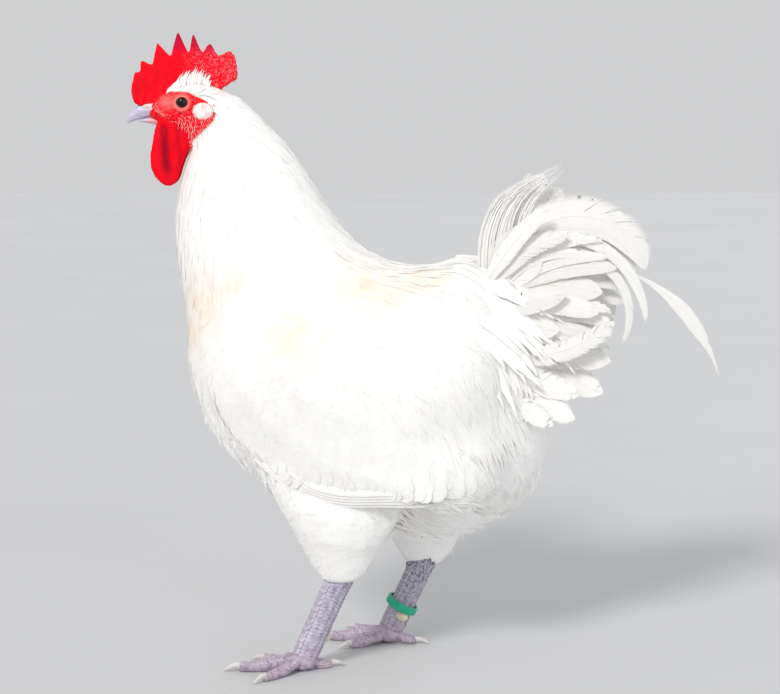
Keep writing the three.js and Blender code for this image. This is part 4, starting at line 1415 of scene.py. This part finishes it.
bodyCoat = dict(
    # first station, top, reach of the thighs outside and inside, and the part of the wing left free
    first=3.6, top=330, thigh=2, innerThigh=10, innerTop=146, freeEdge=30, wing=-3, shoulder=-16,
    spacing=[(3.6, 4), (6, 5), (10, 5.4), (14, 4.6)],
    length=[(3.6, 32), (6, 42), (10, 44), (14, 30)],
    half=[(3.6, 5.4), (6, 7.6), (10, 8), (14, 6)], widths=(0.85, 1.15),
    lift=0.45, ruffle=0.06,
    # towards the vent the feathers are softer
    softAngle=(1.9, 2.6), softFrom=(8, 10.5), softWidth=0.3, softLift=0.8,
    sowing=21, laying=22, shaping=30, steps=7, sway=0.08, spare=0.05, thick=0.18,
    kind=vane, shape=(10, rounded, 0.25, 0.14), kinds=5,
)


def addBodyFeathers(material):
    look = bodyCoat

    def where(points):
        height = points[:, 2]
        inner = onThighs(points, look["innerThigh"]) & (height < look["innerTop"])
        low = outlineDistance(freeEdge, points) < look["freeEdge"]
        covered = onWing(points, look["wing"]) & (low | onWing(points, look["shoulder"]))
        onLegs = onThighs(points, look["thigh"]) | inner
        return (stations(points)[0] > look["first"]) & ~covered & ~onLegs & (height < look["top"])

    roots = wingForm.sown(sowing(look), where, look["sowing"])
    along, angle = stations(roots)
    soft = smoothStep(np.abs(angle), *look["softAngle"]) * smoothStep(along, *look["softFrom"])
    half = between(along, *look["half"]) * (1 - look["softWidth"] * soft)
    lift = rng.normal(look["lift"], look["ruffle"], len(roots)) + soft * look["softLift"]
    half = half * rng.uniform(*look["widths"], len(roots))
    coat = grown(wingForm, roots, look, between(along, *look["length"]), half, rootDepth(roots), lift)
    addPiece("bodyFeathers", coatMesh([coat]), material, "plumage")


saddleFlow = [
    ((-10, 0, 312), (1, 0.3, -0.2)), ((0, 50, 285), (0.62, 0.1, -0.8)), ((40, 0, 312), (0.9, 0.5, 0)),
    ((45, 60, 270), (0.42, 0.1, -0.92)), ((60, 70, 200), (0.5, 0, -0.85)), ((75, 30, 290), (0.5, 0.3, -0.8)),
    ((95, 25, 250), (0.45, 0, -0.9)), ((100, 20, 200), (0.6, 0, -0.8)),
]
saddle = dict(
    first=5.8, last=10.6, angle=1.25, lowest=240, rear=92, spacing=[(0, 4.6)],
    length=[(5.8, 55), (7.5, 78), (9, 98), (10.6, 92)], lengths=(0.8, 1.1),
    half=[(5.8, 4.6), (8, 5.2), (10.6, 4.6)], widths=(0.8, 1.15),
    depth=4.0, lift=1.0, ruffle=0.3, rearLift=1.5, rearFrom=(8, 10.5),
    sowing=81, laying=82, shaping=83, steps=9, sway=0.08, spare=0.04, thick=0.3,
    kind=vane, shape=(9, pointed, 0.15, 0.04), kinds=4,
)


def addSaddle(material):
    look = saddle

    def where(points):
        along, angle = stations(points)
        x, _, z = points.T
        onBack = (along > look["first"]) & (along < look["last"]) & (np.abs(angle) < look["angle"])
        return onBack & (z > look["lowest"]) & (x < look["rear"])

    roots = wingForm.sown(sowing(look), where, look["sowing"])
    along = stations(roots)[0]
    length = between(along, *look["length"]) * rng.uniform(*look["lengths"], len(roots))
    half = between(along, *look["half"]) * rng.uniform(*look["widths"], len(roots))
    lift = rng.normal(look["lift"], look["ruffle"], len(roots))
    lift = lift + look["rearLift"] * smoothStep(along, *look["rearFrom"])
    coat = grown(wingForm, roots, look, length, half, look["depth"], lift, lie(saddleFlow))
    addPiece("saddle", coatMesh([coat]), material, "plumage")


drape = dict(
    front=46, rear=86, lowest=258, angle=1.4, spacing=[(0, 4.6)],
    rise=[(205, -72), (240, -60), (280, -48), (300, -30), (312, -12)], sway=5, turn=(8, 30),
    length=[(205, 40), (250, 58), (300, 74)], lengths=(0.8, 1.1), half=(3.6, 5.6), thick=0.22,
    behind=4, nearest=7, sunk=3, lift=3.4, lean=0.35, droop=0.1, sowing=87, seed=86, steps=10,
    shaping=88, kind=vane, shape=(12, pointed, 0.12, 0.03), kinds=4,
)


def addDrape(material):
    # long feathers that hang from the saddle over the foot of the tail, clear of the body at their tips
    look = drape

    def where(points):
        x, _, z = points.T
        behind = (x > look["front"]) & (x < look["rear"]) & (z > look["lowest"])
        return behind & (np.abs(stations(points)[1]) < look["angle"])

    own = np.random.default_rng(look["seed"])
    roots = wingForm.sown(sowing(look), where, look["sowing"])
    paths = []
    for x, y, z in roots.tolist():
        rise = between(z, *look["rise"]) + own.normal(0, look["sway"])
        length = between(z, *look["length"]) * own.uniform(*look["lengths"])
        run, fall = turning(rise, own.uniform(*look["turn"]), 1, length, look["steps"])
        side = 1 if y > 0 else -1
        lifted = look["lift"] * smoothStep(np.linspace(0, 1, look["steps"] + 1), 0, 0.4)
        path, up = featherFrame(x - look["behind"] + run, z + fall, side, 1, lean=look["lean"])
        path[0, :, 1] = side * (max(abs(y), look["nearest"]) - look["sunk"] + lifted)
        paths.append((path, up))
    path, up = joined(paths)
    coat = dict(path=path, up=up, half=own.uniform(*look["half"], len(path)), thick=look["thick"],
                droop=look["droop"], root=roots, shapes=shapesOf(look))
    addPiece("drape", coatMesh([coat]), material, "plumage")


fluff = dict(
    # where it starts low on the flanks and under the belly
    flank=8.6, flankAngle=1.75, flankTop=225, belly=6.6, bellyAngle=2.3,
    # the inner and rear sides of the thighs, which the body feathers leave free
    besideTop=150, besideReach=(1, 14), inner=45, front=-88, rear=-45, besideSpacing=3.2,
    spacing=[(7.5, 4.4), (10, 5.4)],
    length=[(8.6, 26), (12, 32), (14, 30)], lengths=(0.8, 1.2), half=4.6,
    depth=5.0, lift=(0.5, 6), lifts=[(7, 0.4), (9.5, 1)],
    sowing=91, laying=92, shaping=93, steps=5, sway=0.25, settle=1.3, droop=0, thick=0.3,
    kind=fan, shape=(6, 1.0, 4), kinds=5,
)


def addFluff(material):
    look = fluff

    def beside(points):
        x, y, z = points.T
        inner = ((np.abs(y) < look["inner"]) & (x > look["front"])) | (x > look["rear"])
        near, far = (onThighs(points, reach) for reach in look["besideReach"])
        return inner & (z < look["besideTop"]) & far & ~near

    def where(points):
        along, angle = stations(points)
        low = (along > look["flank"]) & (np.abs(angle) > look["flankAngle"])
        low = low & (points[:, 2] < look["flankTop"])
        under = (along > look["belly"]) & (np.abs(angle) > look["bellyAngle"])
        return (((low | under) & ~onThighs(points)) | beside(points)) & ~onWing(points, 0)

    def spacing(points):
        return np.where(beside(points), look["besideSpacing"], sowing(look)(points))

    roots = wingForm.sown(spacing, where, look["sowing"])
    along = stations(roots)[0]
    length = between(along, *look["length"]) * rng.uniform(*look["lengths"], len(roots))
    lift = rng.uniform(*look["lift"], len(roots)) * between(along, *look["lifts"])
    coat = grown(wingForm, roots, look, length, look["half"], look["depth"], lift)
    addPiece("fluff", coatMesh([coat]), material, "plumage")


thighCoat = dict(
    # by height
    spacing=[(70, 2.4), (110, 3.8), (170, 5.2)],
    length=[(70, 5), (90, 14), (170, 30)], lowest=66, toLowest=1.2,
    half=[(70, 1.4), (90, 3.2), (170, 7.4)], depth=[(70, 1), (100, 2), (170, 3.5)],
    lift=0.45, ruffle=0.12, goal=(-6, 0, -34),
    sowing=41, laying=43, shaping=50, steps=6, sway=0.06, spare=0.015, thick=0.2,
    kind=vane, shape=(9, rounded, 0.2, 0.1), kinds=3,
)


def addThighFeathers(material):
    look = thighCoat
    for number, (name, leg) in enumerate(legs.items()):
        goal = np.array(leg["hock"]) + look["goal"]
        roots = coatForm.sown(lambda p: between(p[:, 2], *look["spacing"]), lambda p: onThigh(p)[number],
                              look["sowing"] + number)
        length, half, depth = (between(roots[:, 2], *look[key]) for key in ("length", "half", "depth"))
        length = np.minimum(length, (roots[:, 2] - look["lowest"]) * look["toLowest"])
        lift = rng.normal(look["lift"], look["ruffle"], len(roots))
        coat = grown(coatForm, roots, look, length, half, depth, lift, lambda p: goal - p)
        addPiece(f"thighFeathers_{name}", coatMesh([coat]), material, "plumage")


# wings

wingFlow = [
    ((-138, 0, 235), (0.2, 0, -0.98)), ((-128, 0, 192), (0.6, 0, -0.8)), ((-100, 0, 250), (0.62, 0, -0.78)),
    ((-96, 0, 166), (0.82, 0, -0.57)), ((-60, 0, 150), (0.97, 0, -0.2)), ((-50, 0, 255), (0.72, 0, -0.7)),
    ((-60, 0, 200), (0.85, 0, -0.5)), ((-10, 0, 142), (1, 0, 0)), ((0, 0, 180), (0.92, 0, -0.38)),
    ((20, 0, 145), (1, 0, -0.05)),
]
wingCoat = dict(
    # by how far back they are
    band=[(-120, 1.5), (-90, 4), (20, 7)], spacing=[(-140, 3.6), (-90, 4.6), (20, 5.4)],
    length=[(-150, 26), (-90, 48), (-20, 66), (30, 70)], shortest=10, toEdge=1.4,
    half=[(-150, 4.6), (-90, 7), (-20, 9.5), (30, 10)], widths=(0.85, 1.1), slimmest=0.32,
    depth=3.2, lift=0.4, edgeLift=1.3, edge=(8, 26), ruffle=0.04,
    sowing={-1: 61, 1: 62}, laying=63, shaping=70, steps=7, sway=0.05, spare=0.015, thick=0.18,
    kind=vane, shape=(12, rounded, 0.16, 0.18), kinds=4,
)


def wingCoverts(side):
    look = wingCoat

    def where(points):
        inside = outlineDistance(wingOutline, points) < 2
        low = outlineDistance(lowerEdge, points) < between(points[:, 0], *look["band"])
        return inside & ~low & (points[:, 1] * side > 35)

    roots = wingForm.sown(lambda p: between(p[:, 0], *look["spacing"]), where, look["sowing"][side])
    far = roots[:, 0] - 0.5 * (roots[:, 2] - 200)
    toEdge = np.abs(outlineDistance(lowerEdge, roots))
    length = np.minimum(between(far, *look["length"]), look["shortest"] + toEdge * look["toEdge"])
    half = between(far, *look["half"]) * rng.uniform(*look["widths"], len(roots))
    half = np.minimum(half, look["slimmest"] * length)
    free = 1 - smoothStep(outlineDistance(freeEdge, roots), *look["edge"])
    lift = look["lift"] + look["edgeLift"] * free + rng.normal(0, look["ruffle"], len(roots))
    return grown(wingForm, roots, look, length, half, look["depth"], lift,
                 lambda p: fromAnchors(wingFlow, p * (1, 0, 1)))


# the tone of 1.2 dims the flights a little towards grey: painted shade
flights = dict(count=5, step=2.4, stack=0.5, half=6.5, low=1.5, out=0.4, spots=15, barbs=110, seed=200,
               tone=1.2, start=0.1, onward=0.05, end=1.0, inward=0.02, stagger=0.02, outside=130)


def wingFlights(side):
    # the long feathers along the lower edge, each over the one below it
    groups = []
    look = flights
    edge = [(x, 0, z) for x, z in wingOutline[2:8]]
    for i in range(look["count"]):
        start, end = look["start"] + look["onward"] * i, look["end"] - look["inward"] * i
        shares = np.linspace(start, end - (look["stagger"] if i % 2 else 0), look["spots"])
        line = np.array([curvePoint(edge, s) for s in shares])
        line[:, 2] += look["low"] + look["step"] * i
        outside = np.stack([line[:, 0], np.full(len(line), look["outside"] * side), line[:, 2]], 1)
        hits = [wingForm.tree.ray_cast(p, (0, -side, 0))[0] for p in outside.tolist()]
        reach = np.array([abs(hit[1]) if hit else 60 for hit in hits])
        for k in range(1, len(reach)):
            reach[k] = max(reach[k], reach[k - 1] - 1.2)   # no sudden steps inwards
        reach = np.convolve(np.pad(reach, 2, "edge"), np.ones(5) / 5, "valid")
        line[:, 1] = side * (reach - look["stack"] * (look["count"] - 1 - i) + look["out"])
        up = unit(np.stack([0 * reach, np.full(len(line), float(side)), 0.12 + 0 * reach], 1))
        groups += plume(line[None], up[None], look["half"], flightTip, look["barbs"], look["seed"] + i,
                        loose=0, tone=look["tone"])
    return groups


# large feathers, barb by barb

def flightTip(t):
    return np.minimum(1, 0.35 + 3 * t) * np.sqrt(np.clip(1 - np.clip((t - 0.8) / 0.2, 0, 1) ** 2.2, 0, 1))


def sickleTip(t):
    return np.minimum(1, 0.35 + 2.2 * t) * np.sqrt(np.clip(1 - t**5, 0, 1))


def ribbonTip(t):
    return 0.12 + 0.88 * np.exp(-(((t - 0.72) / 0.13) ** 2)) * (t < 0.97)


# a web over the whole feather, with slits, under the rods of its barbs
plumes = dict(
    # a tone of 1.4 to 2 dims each tail feather towards grey: painted shade
    tone=(1.4, 2.0), rows=64, slits=0.06, slitDepth=(0.3, 0.8), webWidth=0.93, webThick=0.2, webBelow=0.25,
    shaft=(0.55, 0.03), barbAngle=[(0, 52), (0.6, 40), (0.9, 30), (1, 16)], barbSpots=(0, 0.35, 0.7, 1),
)


def plume(path, up, half, outline, count, seed=0, loose=1.0, camber=0.16, tone=None):
    # one feather: a shaft with barbs on both sides that cling in groups and part between them
    look = plumes
    own = np.random.default_rng(seed)
    ahead = unit(np.gradient(path, axis=1))
    side = unit(np.cross(ahead, up))
    over = np.cross(side, ahead)
    total = np.linalg.norm(np.diff(path, axis=1), axis=2).sum()
    tone = own.uniform(*look["tone"]) if tone is None else tone
    rows = look["rows"]
    level = np.linspace(0, 1, rows + 1)
    slit = (own.random((2, rows + 1)) < look["slits"] * loose) & (level > 0.2) & (level < 0.97)
    slit = slit * own.uniform(*look["slitDepth"], (2, rows + 1))
    web = prism(rows)
    row, edge = np.rint(web["t"] * rows).astype(int), (web["v"] > 0).astype(int)
    width = np.sqrt(1 - web["t"] ** 9) * (look["webWidth"] - 0.1 * loose - slit[edge, row])
    web["v"] = web["v"] * outline(0.95 * web["t"]) * width
    slant = 0.8 * half / total * np.abs(web["v"]) * np.clip(web["t"] * (1 - web["t"]) * 4, 0, 1)
    web["t"], web["h"] = web["t"] + slant, web["h"] * (1 - 0.8 * web["t"])
    groups = [
        dict(path=path, up=over, half=look["shaft"][0] + look["shaft"][1] * half, thick=1.0, droop=0,
             shapes=[shaftShape], tone=np.array([tone])),
        dict(path=path - look["webBelow"] * over, up=over, half=half, thick=look["webThick"],
             droop=camber * 0.8, shapes=[web], tone=np.array([tone])),
    ]
    t = np.linspace(0.04, 0.97, count)
    for edge in (-1, 1):
        cut = slit[int(edge > 0), np.rint(t * rows).astype(int)]
        parted = np.cumsum(np.diff(cut > 0, prepend=False))
        nudge, dip = (own.normal(0, spread * loose, count + 1)[parted] for spread in (0.045, 0.05))
        angle = np.radians(between(t, *look["barbAngle"])) + nudge
        reach = half * outline(t) / np.tan(angle) / total
        wide = half * outline(np.clip(t + 0.7 * reach, 0, 0.999)) * own.uniform(1 - 0.05 * loose, 1.02, count)
        wide = wide * (1 - cut)
        span = wide / np.sin(angle)
        root = alongPath(path, t)[0]
        a, s, n = (alongPath(values, t)[0] for values in (ahead, side, over))
        spots = []
        for share in look["barbSpots"]:
            along = (span * np.cos(angle) * share * (1 + 0.12 * share))[:, None] * a
            out = (span * np.sin(angle) * share * (1 - 0.1 * share * share) * edge)[:, None] * s
            drop = ((-camber * share**2 + dip * share**1.5) * wide + own.normal(0, 0.05, count))[:, None] * n
            spots.append(root + along + out + drop)
        thickness = np.minimum(0.75 * (total / count) * np.sin(angle), 0.3 * span)
        groups.append(dict(path=np.stack(spots, 1), up=np.repeat(n[:, None], len(spots), 1), half=thickness,
                           thick=0.2, droop=0.05, root=np.repeat(path[:, 0], count, 0), shapes=[oneBarb],
                           tone=np.full(count, tone), lengthwise=True))
    return groups


def barbShape():
    made = prism(3)
    made["v"] = made["v"] * np.clip(2.2 * (1.02 - made["t"]), 0.05, 1) ** 0.7
    made["h"] = made["h"] * (1 - 0.7 * made["t"])
    return made


oneBarb = barbShape()
shaftShape = prism(12)
shaftShape["v"] = shaftShape["v"] * (1 - 0.85 * shaftShape["t"])
shaftShape["h"] = (shaftShape["h"] - 0.3) * (1 - 0.8 * shaftShape["t"])


# tail

# root, direction at the root and how far it turns down along its length (degrees), how late it
# turns (curl), length, width, distance from the mid-plane
tailFan = dict(count=9, root=(62, 284), first=68, last=-4, turn=12, curl=1.3, length=104, width=28, lane=1.6)
sickles = [
    dict(root=(76, 297), rise=79, turn=156, curl=1.1, length=153, width=31, lane=19, loose=0.6),
    dict(root=(78, 298), rise=96, turn=182, curl=0.66, length=160, width=11, lane=22),
    dict(root=(78, 292), rise=59, turn=177, curl=1.1, length=153, width=9, lane=25),
    dict(root=(76, 297), rise=72, turn=150, curl=1.1, length=136, width=28, lane=14),
]
# feathers given by root, tip and bow
sideCoverts = [
    dict(root=(79, 295), tip=(152, 290), bow=9, width=23, lane=23),
    dict(root=(79, 284), tip=(149, 275), bow=10, width=20, lane=26),
    dict(root=(80, 306), tip=(144, 313), bow=12, width=22, lane=21),
    dict(root=(76, 310), tip=(131, 340), bow=8, width=20, lane=17),
    dict(root=(84, 240), tip=(159, 238), bow=8, width=26, lane=22, loose=1.6),
    dict(root=(84, 240), tip=(160, 270), bow=-20, width=20, lane=33, loose=2.4),
    dict(root=(84, 232), tip=(154, 213), bow=8, width=26, lane=19, loose=1.6),
    dict(root=(70, 222), tip=(134, 214), bow=14, width=25, lane=33, loose=2.2),
    dict(root=(60, 214), tip=(131, 196), bow=14, width=24, lane=35, loose=2.2),
    dict(root=(52, 216), tip=(114, 192), bow=12, width=22, lane=38, loose=2.2),
]
# short feathers from the upper root to the lower one
roughCoverts = dict(count=30, top=(64, 300), foot=(52, 232), rise=[(0, 60), (0.5, 22), (1, -34)], sway=9,
                    turn=(5, 60), curl=(0.8, 2), length=(45, 85), width=(13, 23), lane=(12, 29),
                    loose=(0.8, 1.6))
# narrow curved feathers behind them that end on an arc round the hub, from the first angle to the last
innerCoverts = dict(count=24, top=(80, 304), foot=(80, 250), hub=(100, 286), reach=(56, 72),
                    first=50, last=-62, bow=(16, 40), width=(10, 18), lane=(9, 24), loose=(0.8, 1.8))
# frayed upright tuft: lower and upper edge of the bundle, number of narrow feathers and of wisps
tuft = dict(low=[(86, 300), (93, 335), (102, 360), (125, 382)],
            high=[(60, 302), (62, 335), (78, 364), (122, 387)], spots=13,
            feathers=6, featherHalf=(2.4, 4), wisps=240, wispHalf=(0.5, 1.1), lane=20, narrowing=-0.2)
streamer = dict(root=(80, 296), rise=40, turn=114, curl=0.8, length=207, width=13, lane=17)


def arc(root, tip, bow):
    # the turning line from root to tip that starts out steeper by the bow
    reach, climb = tip[0] - root[0], tip[1] - root[1]
    half = radians(abs(bow))
    return dict(root=root, rise=degrees(atan2(climb, reach)) + bow, turn=2 * bow,
                length=hypot(reach, climb) * half / sin(half))


def featherFrame(x, z, side, lane, spread=0.3, lean=0.25):
    # the path and the upper side of a tail feather that runs through these places in the side view
    t = np.linspace(0, 1, len(x))
    path = np.stack([x, side * lane * (1 + spread * t), z], 1)
    ahead = unit(np.gradient(path, axis=0))
    across = np.stack([-ahead[:, 2], 0 * t - side * lean, ahead[:, 0]], 1)
    up = unit(np.cross(across, ahead))
    up *= np.sign(up[:, 1:2] * side + 1e-9)
    return path[None], up[None]


def joined(frames):
    return [np.concatenate(parts) for parts in zip(*frames)]


def turning(rise, turn, curl, length, steps):
    # how far a line runs and climbs that starts at an angle and turns down from it
    angle = np.radians(rise - turn * ((np.arange(steps) + 0.5) / steps) ** curl)
    return [np.concatenate([[0], np.cumsum(part(angle))]) * length / steps for part in (np.cos, np.sin)]


def tailFeather(side, root, rise, turn, length, width, lane, curl=1, outline=sickleTip, seed=0, loose=0.8,
                camber=0.16):
    run, climb = turning(rise, turn, curl, length, 20)
    path, up = featherFrame(root[0] + run, root[1] + climb, side, lane)
    return plume(path, up, width / 2, outline, int(length / 1.5), seed, loose, camber)


def rootAt(look, share):
    # from the upper root to the lower one
    return [between(share, *enumerate(ends)) for ends in zip(look["top"], look["foot"])]


def sideTail(side):
    groups = []
    own = np.random.default_rng(310 + side)
    for i, feather in enumerate(sickles):
        feather = dict(feather)
        if side > 0:
            feather["rise"] += 5 * sin(2.3 * i + 1)
            feather["length"] *= 1 - 0.06 * (1 + sin(3.1 * i))
        groups += tailFeather(side, seed=320 + i + 20 * side, **feather)
    for i, feather in enumerate(sideCoverts):
        shape = {key: feather[key] for key in ("width", "lane", "loose") if key in feather}
        bow = feather["bow"] * (1 if side < 0 else 1 + 0.4 * sin(5 * i))
        line = arc(feather["root"], feather["tip"], bow)
        groups += tailFeather(side, seed=360 + i + 20 * side, **line, **shape)
    look = roughCoverts
    for i in range(look["count"]):
        share = (i + own.random()) / look["count"]
        rise = between(share, *look["rise"]) + own.normal(0, look["sway"])
        shape = {key: own.uniform(*look[key]) for key in ("turn", "curl", "length", "width", "lane", "loose")}
        groups += tailFeather(side, rootAt(look, share), rise, seed=400 + i + 40 * side, **shape)
    look = innerCoverts
    for i in range(look["count"]):
        share = (i + own.random()) / look["count"]
        angle = radians(between(share, (0, look["first"]), (1, look["last"])))
        reach = own.uniform(*look["reach"])
        tip = (look["hub"][0] + reach * cos(angle), look["hub"][1] + reach * sin(angle))
        line = arc(rootAt(look, share), tip, own.uniform(*look["bow"]) * (1 - 0.5 * share))
        shape = {key: own.uniform(*look[key]) for key in ("width", "lane", "loose")}
        groups += tailFeather(side, seed=600 + i + 40 * side, **line, **shape)
    if side < 0:
        groups += tailFeather(side, outline=ribbonTip, seed=390, loose=0.5, **streamer)
    return groups


def middleTail():
    groups = []
    look = tailFan
    for side in sides.values():
        for i in range(look["count"]):
            share = i / (look["count"] - 1)
            rise = between(share, (0, look["first"]), (1, look["last"]))
            length, lane = look["length"] * (1 - 0.14 * share), look["lane"] + 1.8 * (i % 3)
            groups += tailFeather(side, look["root"], rise, look["turn"], length, look["width"], lane,
                                  look["curl"], flightTip, 500 + i + 10 * side, loose=0.5, camber=0.08)
    return groups + frayedTuft()


def frayedTuft():
    groups = []
    own = np.random.default_rng(520)
    look = tuft

    def line(share, stretch):
        ends = [curvePoint([(x, 0, z) for x, z in look[edge]], t) for edge in ("low", "high")
                for t in np.linspace(0, stretch, look["spots"])]
        points = np.array([tuple(p) for p in ends]).reshape(2, look["spots"], 3)
        points = points[0] * (1 - share) + points[1] * share
        return points[:, 0], points[:, 2]

    for i in range(look["feathers"]):
        x, z = line((i + 0.5) / look["feathers"], own.uniform(0.72, 0.93))
        path, up = featherFrame(x, z, -1, look["lane"] - 1.4 * (i % 3), look["narrowing"])
        # tone 2 dims the tuft's feathers towards grey: painted shade
        groups += plume(path, up, own.uniform(*look["featherHalf"]), sickleTip, 60, 530 + i, 2.5, tone=2)
    paths = []
    for _ in range(look["wisps"]):
        share = own.uniform(-0.03, 1.03)
        x, z = line(share, own.uniform(0.45, 1.0) ** (1.6 - share))
        x = x + np.linspace(0, 1, look["spots"]) ** 2 * own.normal(0, 1.6)
        paths.append(featherFrame(x, z, -1, look["lane"] + own.uniform(-5, 3), look["narrowing"]))
    path, up = joined(paths)
    half = own.uniform(*look["wispHalf"], len(path))
    # tones of up to 2.6 dim the wisps towards grey: painted shade
    groups.append(dict(path=path, up=up, half=half, thick=0.4, droop=0.1, shapes=[vane(8, strand)],
                       tone=own.uniform(0.8, 2.6, len(path)), lengthwise=True))
    return groups


# build

addCamera()
addLamps()
addFloor()
bodyNodes = ["head", "neck", "trunk", "thigh_left", "thigh_right"]
coatForm = Form(bodyNodes, rump)
# fills out the flanks behind the wings
flank = [
    dict(centre=(x, side * y, z), radii=radii, tilt=0) for side in sides.values()
    for x, y, z, radii in [(20, 42, 222, (58, 45, 50)), (34, 44, 166, (46, 34, 40))]
]
wingForm = Form(bodyNodes + ["wing_left", "wing_right"], rump + flank, voxel=3, passes=24,
                blend=wingBlend, body=coatForm)
print("forms ready")

white = plumageMaterial()
addSkin(skinMaterial())
addEyes(eyeMaterial())
addBeak(hornMaterial("bill"))
addClaws(hornMaterial("claw"))
addSpurs(hornMaterial("spur"))
addScutes(scaleMaterial())
addRing(ringMaterial())
for addCoat in (addHackle, addBrow, addBristles, addBodyFeathers, addThighFeathers, addSaddle, addDrape,
                addFluff):
    addCoat(white)
for name, side in sides.items():
    addPiece(f"wingFeathers_{name}", coatMesh([wingCoverts(side), *wingFlights(side)]), white, "plumage")
    addPiece(f"tailFeathers_{name}", coatMesh(sideTail(side)), white, "plumage", f"tail_{name}")
addPiece("tailFanFeathers", coatMesh(middleTail()), white, "plumage", "tail_fan")
